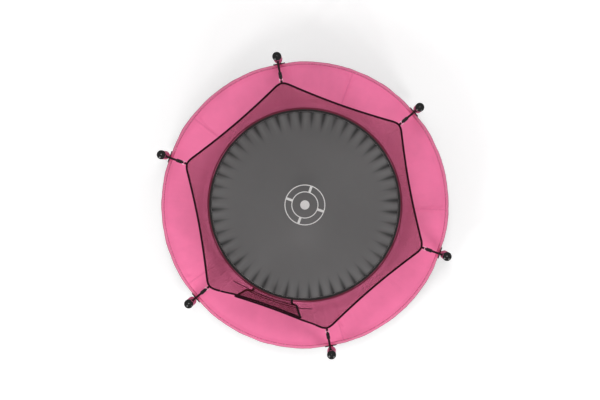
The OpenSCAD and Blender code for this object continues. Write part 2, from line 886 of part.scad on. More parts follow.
module flap(way) {
    inset = binding_r + slip;
    grid = [
        for (i = [0:flap_columns])
            let (s = (way > 0 ? i : flap_columns - i) / flap_columns)
            [for (j = [0:net_rows]) flap_point(s, j / net_rows, way, inset)]
    ];
    color([0.62, 0.28, 0.40])
        sheet(grid, net_t);
}

module flap_binding(way) {
    lift = [0, 0, binding_r + 2 * slip];
    shares = [binding_start, for (i = [1:flap_columns - 1]) i / flap_columns];
    path = concat(
        [for (s = shares) flap_point(s, 1, way, 0) + lift],
        [for (j = [net_rows:-1:0]) flap_point(1, j / net_rows, way, 0) + lift * j / net_rows]
    );
    color([0.06, 0.06, 0.065])
        roll(path, binding_r);
}

module net_hem() {
    color([0.30, 0.10, 0.15])
        rotate_extrude($fn = 180)
            translate([net_foot_r - hem_w / 2, hem_foot_z])
                square([hem_w, hem_t]);
}

module net_rim_tape() {
    stub = root_share - root_gap_share - rim_d / 2 / side_l;
    stub_steps = 3;
    first = [for (i = [0:stub_steps - 1]) rim_point(entrance, mix(1 - stub, 1, i / stub_steps))];
    side_last = len(rim_shares) - 1;
    middle = [for (k = [1:poles - 1], i = [0:side_last - 1]) rim_point(entrance + k, rim_shares[i])];
    last = [for (i = [0:stub_steps]) rim_point(entrance, stub * i / stub_steps)];
    color([0.06, 0.06, 0.065])
        roll(concat(first, middle, last), rim_d / 2);
}

// ---------------------------------------------------------------- straps

// Places an outline given along the strap's own line: [distance from the net's corner, height above it]
module on_strap_line() {
    at_poles()
        translate([strap_from[0], 0, strap_from[1]])
            rotate([0, -strap_tilt, 0])
                children();
}

module eye(s, bore_r) {
    translate([s, 0])
        difference() {
            circle(bore_r + strap_t);
            circle(bore_r);
        }
}

module net_straps() {
    color([0.07, 0.07, 0.075])
        on_strap_line()
            profile(strap_w) {
                eye(link_eye_s, link_eye_r);
                eye(strap_reach, eye_r);
                translate([link_eye_s + link_eye_r + strap_t / 2, -strap_t / 2])
                    square([strap_reach - link_eye_s - link_eye_r - eye_r - strap_t, strap_t]);
            }
}

module strap_buckles() {
    buckle_gap = 2;
    buckle_s = link_eye_s + link_eye_r + strap_t + buckle_gap;
    window_l = buckle_l / 4;
    window_starts = [0.15, 0.6];
    color([0.05, 0.05, 0.055])
        on_strap_line()
            translate([buckle_s, 0, 0])
                difference() {
                    translate([0, -buckle_w / 2, -buckle_t / 2])
                        cube([buckle_l, buckle_w, buckle_t]);
                    translate([-overshoot, -strap_w / 2 - slip, -strap_t / 2 - slip])
                        cube([buckle_l + 2 * overshoot, strap_w + 2 * slip, strap_t + 2 * slip]);
                    for (s = window_starts)
                        translate([s * buckle_l, -strap_w / 2, 0])
                            cube([window_l, strap_w, buckle_t]);
                }
}

module strap_links() {
    inner_half = strap_w / 2 + 2 * slip;
    color([0.85, 0.85, 0.85])
        on_strap_line()
            translate([loop_eye_s - link_wire / 2, 0, -link_wire / 2])
                linear_extrude(link_wire)
                    difference() {
                        translate([0, -inner_half - link_wire])
                            square([link_l + link_wire, 2 * inner_half + 2 * link_wire]);
                        translate([link_wire, -inner_half])
                            square([link_l - link_wire, 2 * inner_half]);
                    }
}

module corner_loops() {
    color([0.07, 0.07, 0.075])
        on_strap_line()
            profile(strap_w) {
                eye(loop_eye_s, link_eye_r);
                translate([rim_d / 2 + slip, -strap_t])
                    square([loop_l - link_eye_r - strap_t / 2 - slip, 2 * strap_t]);
            }
}

// ---------------------------------------------------------------- nodes

for (k = [0:poles - 1]) {
    top_rail(k);
    lower_pole(k);
    upper_pole(k);
    foam_sleeve(k);
}
for (k = [0:len(leg_nodes) - 1])
    u_leg(k);
for (i = [0:len(panel_sides) - 1])
    net_panel(panel_sides[i]);
leg_sockets();
socket_screws();
leg_feet();
pole_plugs();
pole_caps();
pole_brackets();
bracket_bolts();
bracket_nuts();
springs();
v_rings();
ring_tabs();
jumping_mat();
mat_webbing();
spring_pad();
pad_skirt();
pad_ties();
net_hem();
net_rim_tape();
entrance_strips();
flap(1);  // flap_inner
flap_binding(1);  // flap_inner_binding
flap(-1);  // flap_outer
flap_binding(-1);  // flap_outer_binding
net_straps();
strap_buckles();
strap_links();
corner_loops();
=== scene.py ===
"""The looks of a round garden trampoline with six net poles, a padded spring cover and an inner safety net.

Metres throughout, in the frame of the CAD model: the floor is z = 0 and the mat's middle is on the Z axis.
Poles stand at 0, 60 ... 300 degrees, and the entrance faces -Y.
"""

import math

import bmesh
import bpy
from mathutils import Matrix, Vector, noise


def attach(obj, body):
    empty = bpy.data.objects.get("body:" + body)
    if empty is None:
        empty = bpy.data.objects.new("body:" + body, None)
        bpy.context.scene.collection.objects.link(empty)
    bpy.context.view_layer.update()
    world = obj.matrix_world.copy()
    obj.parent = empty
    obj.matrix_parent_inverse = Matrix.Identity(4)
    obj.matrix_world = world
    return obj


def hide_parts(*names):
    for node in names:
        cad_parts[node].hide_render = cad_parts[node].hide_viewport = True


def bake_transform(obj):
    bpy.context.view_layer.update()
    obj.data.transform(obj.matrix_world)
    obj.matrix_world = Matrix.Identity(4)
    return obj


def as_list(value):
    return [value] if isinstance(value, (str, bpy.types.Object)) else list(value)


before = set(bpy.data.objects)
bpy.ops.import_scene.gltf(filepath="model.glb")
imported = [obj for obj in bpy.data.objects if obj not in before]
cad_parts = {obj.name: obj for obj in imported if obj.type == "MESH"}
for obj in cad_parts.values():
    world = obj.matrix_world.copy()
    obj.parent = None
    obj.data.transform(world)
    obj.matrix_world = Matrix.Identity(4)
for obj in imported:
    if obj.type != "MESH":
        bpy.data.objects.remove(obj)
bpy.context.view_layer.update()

# ---------------------------------------------------------------- sizes, as the CAD source has them

MM = 0.001
TAU = math.tau
POLES = 6
SIDE = TAU / POLES
SPRINGS_PER_SIDE = 8
SPRINGS = POLES * SPRINGS_PER_SIDE
SPRING_STEP = SIDE / SPRINGS_PER_SIDE

RAIL_R = 880 * MM
RAIL_Z = 460 * MM
TUBE_R = 19 * MM
SLIP = 0.3 * MM

POLE_AXIS_R = 951 * MM
FOAM_R = 28 * MM
FOAM_BORE_R = 14.3 * MM
FOAM_FOOT_Z = 375 * MM
FOAM_TOP_Z = 1866 * MM

MAT_R = 617 * MM
MAT_Z = 466 * MM
MAT_T = 2.4 * MM
WEBBING_W = 18 * MM
WEBBING_T = 4 * MM
FABRIC_R = MAT_R - WEBBING_W - SLIP
FOLD_DEPTH = 9 * MM
FOLD_RUN = 140 * MM

TAB_W = 24 * MM
RING_BASE_R = 623.3 * MM
RING_TIP_R = 653 * MM
RING_BASE_HALF = 17 * MM
RING_TIP_HALF = 5 * MM
RING_WIRE_R = 2 * MM

COIL_IN_R = 673 * MM
COIL_OUT_R = 843 * MM
COIL_R = 10 * MM
SPRING_WIRE_R = 1.6 * MM
COIL_TURNS = 40.0

PAD_IN_R = 614 * MM
PAD_SEAM_R = 905 * MM
PAD_FOOT_Z = 482.6 * MM
PAD_HEM_Z = 494.6 * MM
PAD_SEAM_Z = 487.4 * MM
PAD_CROWN = 10 * MM
PAD_FLAT_R = 632 * MM
PAD_DIP = 5 * MM
PAD_SECTORS = 5
PAD_SEAM_TURN = math.radians(17.6)
SKIRT_DROP = 68 * MM
SKIRT_FLARE = 15.5 * MM

NET_FOOT_R = 622 * MM
NET_FOOT_Z = 497.2 * MM
HEM_W = 8 * MM
HEM_Z = 495.9 * MM
NET_TOP_Z = 1800 * MM
RIM_R = 781 * MM
RIM_SAG = 26 * MM
RIM_BOW = 16 * MM
RIM_TURN_L = 48 * MM
RIM_CORNER_R = RIM_R + RIM_TURN_L / 4
RIM_TAPE_R = 6 * MM
RIM_ROLL_R = 6.6 * MM
NET_T = 0.6 * MM
SIDE_L = 2 * RIM_CORNER_R * math.sin(SIDE / 2)

ENTRANCE = 4
ROOT_SHARE = 78 * MM / SIDE_L
ROOT_GAP_SHARE = 0.45 * MM / SIDE_L
FREE_TOP_SHARE = 0.5 + 220 * MM / SIDE_L
FREE_FOOT_SHARE = 0.5 + 129 * MM / (NET_FOOT_R * SIDE)
FLAP_GAP = 12 * MM
FLAP_SPLIT = 0.2
FLAP_LIFT = 6 * MM
FLAP_RISE = 34 * MM
BINDING_R = 5.8 * MM
FLAP_JOG = 12 * MM
JOG_SHARE = 0.29
SEAM_ROLL_R = 2.6 * MM
CROSS_SEAM_SHARE = 0.33
ROLL_GAP = 0.6 * MM

STRAP_W = 13.5 * MM
STRAP_T = 1.5 * MM
STRAP_REACH = 155.9 * MM
STRAP_TILT = math.radians(29.29)
LOOP_EYE_S = 16 * MM
LINK_EYE_S = 31 * MM
BUCKLE_S = 37.4 * MM
BUCKLE_L = 42 * MM
BUCKLE_W = 22 * MM
BUCKLE_T = 5 * MM


# ---------------------------------------------------------------- node trees, written as Python expressions


def maths(operation):
    """A method of Wire that adds one Math node."""
    def method(wire, *others):
        return wire.graph.node("ShaderNodeMath", {"operation": operation}, wire, *others)
    return method


class Wire:
    """One output socket of a node tree. Sums and products of wires add their own Math nodes.

    wire.above(edge) is 1 above the edge and 0 elsewhere, and y.turn(x) is the angle of the point (x, y).
    """

    def __init__(self, graph, socket):
        self.graph = graph
        self.socket = socket

    __add__ = __radd__ = maths("ADD")
    __sub__ = maths("SUBTRACT")
    __mul__ = __rmul__ = maths("MULTIPLY")
    __truediv__ = maths("DIVIDE")
    __pow__ = maths("POWER")
    sine = maths("SINE")
    size = maths("ABSOLUTE")
    whole = maths("FLOOR")
    above = maths("GREATER_THAN")
    most = maths("MAXIMUM")
    turn = maths("ARCTAN2")
    exponent = maths("EXPONENT")

    def __rsub__(self, other):
        return self.graph.node("ShaderNodeMath", {"operation": "SUBTRACT"}, other, self)

    def bell(self, width):
        """1 where the wire is 0, falling smoothly to nothing a few widths away."""
        share = self / width
        return (0 - share * share).exponent()

    def ramp(self, low, high, start=0.0, end=1.0):
        """start below low, end above high, and smooth between them."""
        kind = {"interpolation_type": "SMOOTHSTEP"}
        return self.graph.node("ShaderNodeMapRange", kind, self, low, high, start, end)

    def out(self, name):
        """Another output of the same node."""
        return Wire(self.graph, self.socket.node.outputs[name])


class Graph:
    """A node tree. node() adds one node: its settings come first, then the values or wires of its inputs."""

    def __init__(self, tree):
        self.tree = tree

    def node(self, kind, settings=None, *values, **named):
        made = self.tree.nodes.new(kind)
        for name, value in (settings or {}).items():
            setattr(made, name, value)
        inputs = [*enumerate(values), *((key.replace("_", " "), value) for key, value in named.items())]
        for key, value in inputs:
            if isinstance(value, Wire):
                self.tree.links.new(value.socket, made.inputs[key])
            elif value is not None:
                made.inputs[key].default_value = value
        return Wire(self, made.outputs[0])

    def place(self, kind="Object"):
        """The surface point, in the object's own frame if no other kind of place is named."""
        return self.node("ShaderNodeTexCoord").out(kind)

    def level(self, kind="Object"):
        """X and Y of the surface point."""
        parts = self.node("ShaderNodeSeparateXYZ", None, self.place(kind))
        return parts, parts.out("Y")

    def cloth(self):
        """How far along and across the cloth the surface point is, in metres, from the piece's UV map."""
        return self.level("UV")

    def noise(self, scale, detail=2.0, rough=0.5):
        sizes = {"Scale": scale, "Detail": detail, "Roughness": rough}
        return self.node("ShaderNodeTexNoise", None, self.place(), **sizes)

    def cells(self, scale):
        """A grey value that is constant in each cell of a Voronoi pattern."""
        colour = self.node("ShaderNodeTexVoronoi", None, self.place(), Scale=scale).out("Color")
        return self.node("ShaderNodeSeparateXYZ", None, colour)

    def colour(self, share, low, high):
        """A colour that runs from low to high as share runs from 0 to 1."""
        made = self.tree.nodes.new("ShaderNodeMix")
        made.data_type = "RGBA"
        for index, value in ((0, share), (6, low), (7, high)):
            if isinstance(value, Wire):
                self.tree.links.new(value.socket, made.inputs[index])
            else:
                made.inputs[index].default_value = value
        return Wire(self, made.outputs[2])

    def bump(self, height, distance, strength=1.0):
        return self.node("ShaderNodeBump", None, Strength=strength, Distance=distance, Height=height)


# ---------------------------------------------------------------- materials


def paint(red, green, blue):
    """The linear colour of an sRGB colour given in steps of 255."""
    def linear(step):
        share = step / 255
        return share / 12.92 if share <= 0.04045 else ((share + 0.055) / 1.055) ** 2.4
    return (linear(red), linear(green), linear(blue), 1.0)


def shade(colour, factor):
    return (colour[0] * factor, colour[1] * factor, colour[2] * factor, 1.0)


PINK = paint(247, 121, 168)
SKIRT_PINK = paint(243, 110, 160)
MAT_GREY = paint(106, 106, 106)
# the dark red painted as shade round the pad's inner edge
INNER_EDGE_SHADE = paint(120, 45, 66)
# the crimson painted as shade along the pad's outer seam and round the skirt's lower edge, and the darker
# end of the pink thread
SEAM_RED = paint(158, 14, 72)
PRINT_WHITE = (0.86, 0.86, 0.85, 1.0)

# the darkest and the lightest linear colour of each finish that varies
STEEL_TONES = ((0.42, 0.43, 0.44, 1.0), (0.66, 0.67, 0.68, 1.0))
ZINC_TONES = ((0.55, 0.56, 0.58, 1.0), (0.78, 0.78, 0.77, 1.0))
NET_TONES = ((0.09, 0.004, 0.007, 1.0), (0.2, 0.012, 0.02, 1.0))
PLASTIC_TONES = ((0.006, 0.006, 0.006, 1.0), (0.016, 0.016, 0.017, 1.0))
GLOSS_TONES = ((0.002, 0.002, 0.002, 1.0), (0.005, 0.005, 0.005, 1.0))
TAPE_TONES = ((0.008, 0.0015, 0.003, 1.0), (0.032, 0.006, 0.012, 1.0))
EDGE_TONES = ((0.02, 0.017, 0.017, 1.0), (0.05, 0.045, 0.045, 1.0))
STRAP_TONES = ((0.01, 0.004, 0.006, 1.0), (0.032, 0.016, 0.02, 1.0))
HEM_TONES = ((0.17, 0.03, 0.055, 1.0), (0.3, 0.055, 0.1, 1.0))
GREY_THREAD_TONES = ((0.1, 0.1, 0.1, 1.0), (0.2, 0.2, 0.2, 1.0))


def material(name, build, **uniform):
    """A Principled material. uniform sets whole sockets, and build(graph) gives the sockets that vary."""
    made = bpy.data.materials.new(name)
    made.use_nodes = True
    graph = Graph(made.node_tree)
    shader = made.node_tree.nodes["Principled BSDF"]
    for key, value in uniform.items():
        shader.inputs[key.replace("_", " ")].default_value = value
    for key, wire in build(graph).items():
        made.node_tree.links.new(wire.socket, shader.inputs[key])
    return made


def weave(g, pitch):
    """Height of a plain weave on the cloth's own coordinates."""
    along, across = g.cloth()
    return (along * (TAU / pitch)).sine() * (across * (TAU / pitch)).sine() * 0.5 + 0.5


def skin(tone, roughness, bump):
    """The three sockets that vary on most of the materials."""
    return {"Base Color": tone, "Roughness": roughness, "Normal": bump}


def galvanised(g):
    spangle = g.cells(95.0)
    tone = spangle * 0.5 + g.noise(14.0, 3.0) * 0.5
    grain = g.bump(spangle + g.noise(420.0) * 0.5, 0.12 * MM, 0.35)
    return skin(g.colour(tone, *STEEL_TONES), tone * 0.22 + 0.3, grain)


def zinc(g):
    scuff = g.noise(160.0, 3.0)
    grain = g.bump(g.noise(900.0), 0.05 * MM, 0.3)
    return skin(g.colour(scuff, *ZINC_TONES), scuff * 0.2 + 0.2, grain)


def vinyl_tone(g, colour):
    """Coated cloth that is a little darker in places."""
    drift = g.noise(5.0, 3.0, 0.55)
    return g.colour(drift.ramp(0.3, 0.7), shade(colour, 0.94), shade(colour, 1.03))


def vinyl_skin(g, tone):
    """Fine grain over a soft, uneven surface."""
    grain = g.noise(1100.0, 2.0, 0.6)
    cloth = g.cells(820.0)
    height = grain * 0.7 + cloth * 0.3
    return skin(tone, grain * 0.14 + 0.4, g.bump(height, 0.25 * MM, 0.35))


def skirt_vinyl(g):
    """The skirt's cloth, with painted shade as a crimson band round its lower edge."""
    # painted shade: the lowest part of the skirt, on both of its walls, is crimson
    hem = 0.2 * SKIRT_DROP - (g.cloth()[1] - SKIRT_DROP).size()
    tone = g.colour(hem.above(0.0), vinyl_tone(g, SKIRT_PINK), SEAM_RED)
    return vinyl_skin(g, tone)


PAD_ROW = 12 * MM
PAD_UNDER_ROWS = 5
PAD_FRONT_ROWS = 3
PAD_TOP_ROWS = 26
PAD_HEM_ROW = PAD_UNDER_ROWS + PAD_FRONT_ROWS


def pad_vinyl(g):
    """The pad's cover: a little darker along its radial seams, with painted shade as a crimson line along
    its outer seam and as a dark red band round its inner edge.
    """
    x, y = g.level()
    row = g.cloth()[1] / PAD_ROW
    # painted shade of the groove at the outer seam: a narrow crimson line along the pad's edge
    edge = (row - (PAD_HEM_ROW + PAD_TOP_ROWS + 0.1)).bell(0.8)
    turns = (y.turn(x) - PAD_SEAM_TURN) / (TAU / PAD_SECTORS)
    arc_length = (turns - (turns + 0.5).whole()) * (TAU / PAD_SECTORS * RAIL_R)
    # a little darker along the radial seams
    seam = arc_length.bell(2.2 * MM) * 0.25
    seam_darkening = edge.most(seam) * (g.noise(40.0, 3.0) * 0.4 + 0.7)
    # painted shade round the pad's inner edge: a dark red band, left pink in places
    inner = row.ramp(PAD_HEM_ROW + 0.2, PAD_HEM_ROW - 0.4)
    tone = g.colour(seam_darkening, vinyl_tone(g, PINK), SEAM_RED)
    inner_edge_shaded = g.colour(inner * g.noise(6.0).ramp(0.66, 0.5, 0.55), tone, INNER_EDGE_SHADE)
    return vinyl_skin(g, inner_edge_shaded)


def foam_cover(g):
    ribs = weave(g, 3.2 * MM)
    drift = g.noise(11.0, 3.0)
    # painted shade: the sleeves' pink is the skirt's pink darkened, for the shade on the sleeves' sides
    tone = g.colour(drift, shade(SKIRT_PINK, 0.6), shade(SKIRT_PINK, 0.72))
    return skin(tone, drift * 0.15 + 0.45, g.bump(ribs + g.noise(700.0) * 0.4, 0.2 * MM, 0.4))


NET_CELL = 3.2 * MM
NET_THREAD = 0.15
NET_STAGGER = 0.382


def netting(upright):
    """Knitted mesh with staggered rows: one wall of the cloth carries short, slightly wavy upright threads,
    and the other carries the crossing ones."""
    def build(g):
        along, across = g.cloth()
        wave = (across * (TAU / NET_CELL)).sine() * (NET_CELL * 0.12)
        stagger = (across / NET_CELL).whole() * NET_STAGGER
        share = (along + wave) / NET_CELL + stagger if upright else across / NET_CELL
        thread = NET_THREAD - (share - (share + 0.5).whole()).size()
        return {
            "Alpha": thread.above(0.0),
            "Base Color": g.colour(g.noise(900.0), *NET_TONES),
            "Normal": g.bump(thread.ramp(0.0, NET_THREAD), 0.2 * MM, 0.5),
        }
    return build


def webbing(low, high, pitch):
    """Woven strap: a plain weave with a slightly uneven dye."""
    def build(g):
        cloth = weave(g, pitch)
        tone = g.colour(cloth * 0.5 + g.noise(60.0, 3.0) * 0.5, low, high)
        return skin(tone, cloth * 0.15 + 0.55, g.bump(cloth, 0.35 * MM, 0.7))
    return build


PATCH_TURN = math.radians(109.6)
TARGET_RING_R = 128 * MM
TARGET_INNER_R = 84 * MM
TARGET_DOT_R = 30 * MM
TARGET_LINE = 6 * MM
TARGET_BAR_W = 16 * MM
MAT_WEAVE = 2.2 * MM

# painted shade on the mat's side away from the front lamps and painted light on the side towards them, in
# soft round patches: how far up from its middle, how wide, how strong, and how light
MAT_LIGHT_AND_SHADE_PATCHES = (
    (420 * MM, 380 * MM, 0.3, 0.6),
    (-420 * MM, 380 * MM, 0.25, 1.5),
    (135 * MM, 75 * MM, 0.4, 0.6),
    (-190 * MM, 110 * MM, 0.3, 1.6),
)


def within(wire, half):
    """1 where the wire is less than half away from 0."""
    return (half - wire.size()).above(0.0)


def near_fold(g, x, y, step):
    """How far a point is from the Z axis and from the nearest fold, and a random share for that fold."""
    radius = (x * x + y * y) ** 0.5
    folds = y.turn(x) / step
    centre = (folds + 0.5).whole()
    reach = g.node("ShaderNodeTexWhiteNoise", {"noise_dimensions": "1D"}, None, centre)
    return radius, (folds - centre).size(), reach


def mat_fabric(g):
    """Woven grey fabric, painted with shade in its folds, highlights between them and patches of light and
    shade, and a plain landing target printed on its middle.
    """
    x, y = g.level()
    radius, offset, reach = near_fold(g, x, y, SPRING_STEP)
    run = radius.ramp(FABRIC_R - FOLD_RUN * 1.15, FABRIC_R) * (reach * 0.5 + 0.5)
    # painted shade in the folds: crease is 1 along each fold, strongest towards the mat's edge
    crease = offset.bell(run * 0.1 + 0.06) * run.ramp(0.0, 0.9)
    # painted highlight on the bulging cloth between the folds, near the mat's edge
    bulge_highlight = (0.5 - offset).bell(0.26) * run.ramp(0.0, 0.8)
    cloth = (x * (TAU / MAT_WEAVE)).sine() * (y * (TAU / MAT_WEAVE)).sine() * 0.5 + 0.5
    drift = g.noise(7.0, 4.0, 0.6)
    plain = g.colour(drift, shade(MAT_GREY, 0.92), shade(MAT_GREY, 1.06))
    # painted shade and painted light: each patch darkens or lightens the mat's grey
    for up, width, share, grey in MAT_LIGHT_AND_SHADE_PATCHES:
        across = x - up * math.cos(PATCH_TURN)
        along = y - up * math.sin(PATCH_TURN)
        painted_patch = ((across * across + along * along) ** 0.5).bell(width)
        plain = g.colour(painted_patch * share, plain, shade(MAT_GREY, grey))
    lit = g.colour(bulge_highlight * 0.5, plain, shade(MAT_GREY, 1.4))
    # painted shade: the folds are darkened towards a near black grey
    fold_shaded = g.colour(crease * 0.9, lit, shade(MAT_GREY, 0.16))
    outer = within(radius - TARGET_RING_R, TARGET_LINE / 2)
    inner = within(radius - TARGET_INNER_R, TARGET_LINE / 2)
    dot = within(radius, TARGET_DOT_R)
    bars = within(x, TARGET_BAR_W / 2).most(within(y, TARGET_BAR_W / 2))
    band = within(radius - (TARGET_RING_R + TARGET_INNER_R) / 2, (TARGET_RING_R - TARGET_INNER_R) / 2)
    printed = outer.most(inner).most(dot).most(bars * band)
    chipped = printed * g.noise(300.0, 4.0, 0.7).ramp(0.28, 0.36)
    tone = g.colour(chipped, fold_shaded, PRINT_WHITE)
    return skin(tone, cloth * 0.1 + drift * 0.12 + 0.42, g.bump(cloth + chipped * 0.5, 0.25 * MM, 0.5))


def moulded(g):
    grain = g.noise(1500.0, 2.0, 0.6)
    tone = g.colour(g.noise(30.0, 3.0), *PLASTIC_TONES)
    return skin(tone, grain * 0.2 + 0.42, g.bump(grain, 0.15 * MM, 0.4))


def gloss_moulded(g):
    swirl = g.noise(60.0, 2.0)
    return skin(g.colour(swirl, *GLOSS_TONES), swirl * 0.04 + 0.05, g.bump(swirl, 0.1 * MM, 0.08))


def thread(low, high):
    def build(g):
        twist = g.noise(2500.0)
        return {"Base Color": g.colour(twist, low, high), "Roughness": twist * 0.2 + 0.5}
    return build


STEEL = material("galvanised_steel", galvanised, Metallic=1.0)
ZINC = material("zinc_hardware", zinc, Metallic=1.0)
SPRING_STEEL = material("zinc_spring", zinc, Metallic=1.0)
VINYL = material("pink_vinyl", pad_vinyl, Specular_IOR_Level=0.2)
SKIRT_VINYL = material("pink_skirt", skirt_vinyl, Specular_IOR_Level=0.15)
FOAM = material("pink_foam", foam_cover, Specular_IOR_Level=0.25)
NET = material("net_mesh", netting(True), Roughness=0.7, Specular_IOR_Level=0.1)
NET_CROSSING = material("net_mesh_crossing", netting(False), Roughness=0.7, Specular_IOR_Level=0.1)
TAPE = material("dark_tape", webbing(*TAPE_TONES, 1.6 * MM), Specular_IOR_Level=0.05)
HEM = material("net_hem_tape", webbing(*HEM_TONES, 1.6 * MM), Specular_IOR_Level=0.05)
STRAP = material("black_webbing", webbing(*STRAP_TONES, 1.5 * MM), Specular_IOR_Level=0.05)
EDGE_WEB = material("edge_webbing", webbing(*EDGE_TONES, 2.4 * MM), Specular_IOR_Level=0.2)
MAT = material("mat_fabric", mat_fabric, Specular_IOR_Level=0.25)
PLASTIC = material("black_plastic", moulded, Specular_IOR_Level=0.2)
RUBBER = material("black_rubber", moulded, Specular_IOR_Level=0.15)
GLOSS = material("gloss_black_plastic", gloss_moulded, Specular_IOR_Level=0.22)
PINK_THREAD = material("pink_thread", thread(shade(SEAM_RED, 0.9), shade(PINK, 0.7)), Specular_IOR_Level=0.1)
GREY_THREAD = material("grey_thread", thread(*GREY_THREAD_TONES))


# ---------------------------------------------------------------- shapes


def smooth(t):
    t = min(1.0, max(0.0, t))
    return t * t * (3 - 2 * t)


def mix(a, b, t):
    return a + (b - a) * t


def polar(r, angle, z=0.0):
    return Vector((r * math.cos(angle), r * math.sin(angle), z))


def off_axis(point):
    """The level vector from the Z axis to the point."""
    return Vector((point.x, point.y, 0.0))


def outward(point, distance):
    """The point moved away from the Z axis, level."""
    return point + off_axis(point).normalized() * distance


def placed(name, data):
    """A new object in the scene."""
    obj = bpy.data.objects.new(name, data)
    bpy.context.scene.collection.objects.link(obj)
    return obj


def from_mesh(name, mesh, finish, soft=True):
    """A new object for a mesh, in that finish."""
    obj = placed(name, mesh)
    if finish is not None:
        mesh.materials.clear()
        mesh.materials.append(finish)
    mesh.polygons.foreach_set("use_smooth", [soft] * len(mesh.polygons))
    return obj


def evaluated_mesh(obj):
    """A plain mesh of the object as its modifiers make it."""
    graph = bpy.context.evaluated_depsgraph_get()
    return bpy.data.meshes.new_from_object(obj.evaluated_get(graph))


def cleaned(mesh, merge=0.0):
    """Turns the mesh's faces outward, after corners nearer than merge are made one."""
    build = bmesh.new()
    build.from_mesh(mesh)
    if merge:
        bmesh.ops.remove_doubles(build, verts=build.verts, dist=merge)
    bmesh.ops.recalc_face_normals(build, faces=build.faces)
    build.to_mesh(mesh)
    build.free()
    return mesh


def cloth_mesh(name, points, faces, places):
    """A mesh whose UV map holds each face corner's place on the cloth, in metres."""
    mesh = bpy.data.meshes.new(name)
    mesh.from_pydata(points, [], faces)
    layer = mesh.uv_layers.new(name="cloth")
    layer.data.foreach_set("uv", [value for place in places for value in place])
    return mesh


def surface(name, finish, columns, rows, at, uv, ring=False, tube=False):
    """A grid of quads through at(s, t), with s and t from 0 to 1. ring joins its last column to its first,
    and tube its last row to its first. uv(s, t) is the place on the cloth, in metres."""
    wide = columns if ring else columns + 1
    high = rows if tube else rows + 1
    points = [at(i / columns, j / rows) for i in range(wide) for j in range(high)]
    faces, places = [], []
    for i in range(columns):
        for j in range(rows):
            corners = [(i, j), (i + 1, j), (i + 1, j + 1), (i, j + 1)]
            faces.append([a % wide * high + b % high for a, b in corners])
            places += [uv(a / columns, b / rows) for a, b in corners]
    mesh = cloth_mesh(name, points, faces, places)
    mesh.validate()
    return from_mesh(name, mesh, finish)


def thickened(obj, thickness, far_finish=None):
    """Gives an open sheet two walls and a closed edge. far_finish is the second wall's material."""
    wall = obj.modifiers.new("wall", "SOLIDIFY")
    wall.thickness = thickness
    wall.offset = 0.0
    if far_finish:
        obj.data.materials.append(far_finish)
        wall.material_offset = 1
    mesh = evaluated_mesh(obj)
    obj.modifiers.clear()
    obj.data = mesh
    return obj


def swept(name, finish, path, section, closed=False, up=Vector((0, 0, 1))):
    """A closed section of (side, height) points carried along a path, with its height nearest to up."""
    count = len(path)
    last = count - 1

    def station(i):
        before = path[(i - 1) % count] if closed else path[max(i - 1, 0)]
        after = path[(i + 1) % count] if closed else path[min(i + 1, last)]
        ahead = (after - before).normalized()
        rise = up(path[i]) if callable(up) else up
        side = ahead.cross(rise).normalized()
        return path[i], side, side.cross(ahead)

    around = len(section)
    points = [p + side * a + lift * b for p, side, lift in map(station, range(count)) for a, b in section]
    lengths = [0.0]
    for i in range(1, count + 1):
        lengths.append(lengths[-1] + (path[i % count] - path[i - 1]).length)
    girths = [0.0]
    for j in range(1, around + 1):
        a, b = section[j % around], section[j - 1]
        girths.append(girths[-1] + math.dist(a, b))
    faces, places = [], []
    for i in range(count if closed else last):
        for j in range(around):
            corners = [(i, j), (i, j + 1), (i + 1, j + 1), (i + 1, j)]
            faces.append([a % count * around + b % around for a, b in corners])
            places += [(lengths[a], girths[b]) for a, b in corners]
    if not closed:
        for first, flip in ((0, False), (last * around, True)):
            loop = [first + j for j in range(around)]
            faces.append(loop if flip else loop[::-1])
            places += [(0.0, 0.0)] * around
    return from_mesh(name, cleaned(cloth_mesh(name, points, faces, places)), finish)


def round_section(radius, sides, widen=1.0):
    turns = [TAU * j / sides for j in range(sides)]
    return [(radius * widen * math.cos(turn), radius * math.sin(turn)) for turn in turns]


def band_section(width, thickness):
    """A flat strap with rounded edges."""
    half, edge = width / 2, thickness / 2
    flank = [(half, 0.0), (half - edge * 0.3, edge * 0.7), (half - edge, edge)]
    middle = [(half * share, edge) for share in (0.5, 0.0, -0.5)]
    top = flank + middle + [(-a, b) for a, b in reversed(flank)]
    return top + [(-a, -b) for a, b in top[1:-1]]


def rounded(points, radius, closed=False, steps=5):
    """A path through the points, with each corner turned on a curve that starts radius away from it."""
    path = []
    count = len(points)
    for i, corner in enumerate(points):
        if not closed and i in (0, count - 1):
            path.append(corner)
            continue
        before, after = points[i - 1], points[(i + 1) % count]
        enter = corner + (before - corner).normalized() * min(radius, (before - corner).length * 0.49)
        leave = corner + (after - corner).normalized() * min(radius, (after - corner).length * 0.49)
        for step in range(steps + 1):
            t = step / steps
            path.append(enter.lerp(corner, t).lerp(corner.lerp(leave, t), t))
    return path


def arc(centre, radius, start, end, steps):
    """Points (distance, height) on an arc, in degrees."""
    made = []
    for step in range(steps + 1):
        angle = math.radians(mix(start, end, step / steps))
        made.append((centre[0] + radius * math.cos(angle), centre[1] + radius * math.sin(angle)))
    return made


def joined(name, parts, finish):
    """One object from several."""
    meshes = bmesh.new()
    for part in parts:
        meshes.from_mesh(part.data)
        bpy.data.objects.remove(part)
    mesh = bpy.data.meshes.new(name)
    meshes.to_mesh(mesh)
    meshes.free()
    return from_mesh(name, mesh, finish)


def fitted(piece, node, body="frame"):
    """Puts a finished piece on its body, in the place of a CAD node, which is hidden."""
    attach(piece, body)
    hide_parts(node)


# ---------------------------------------------------------------- Geometry Nodes


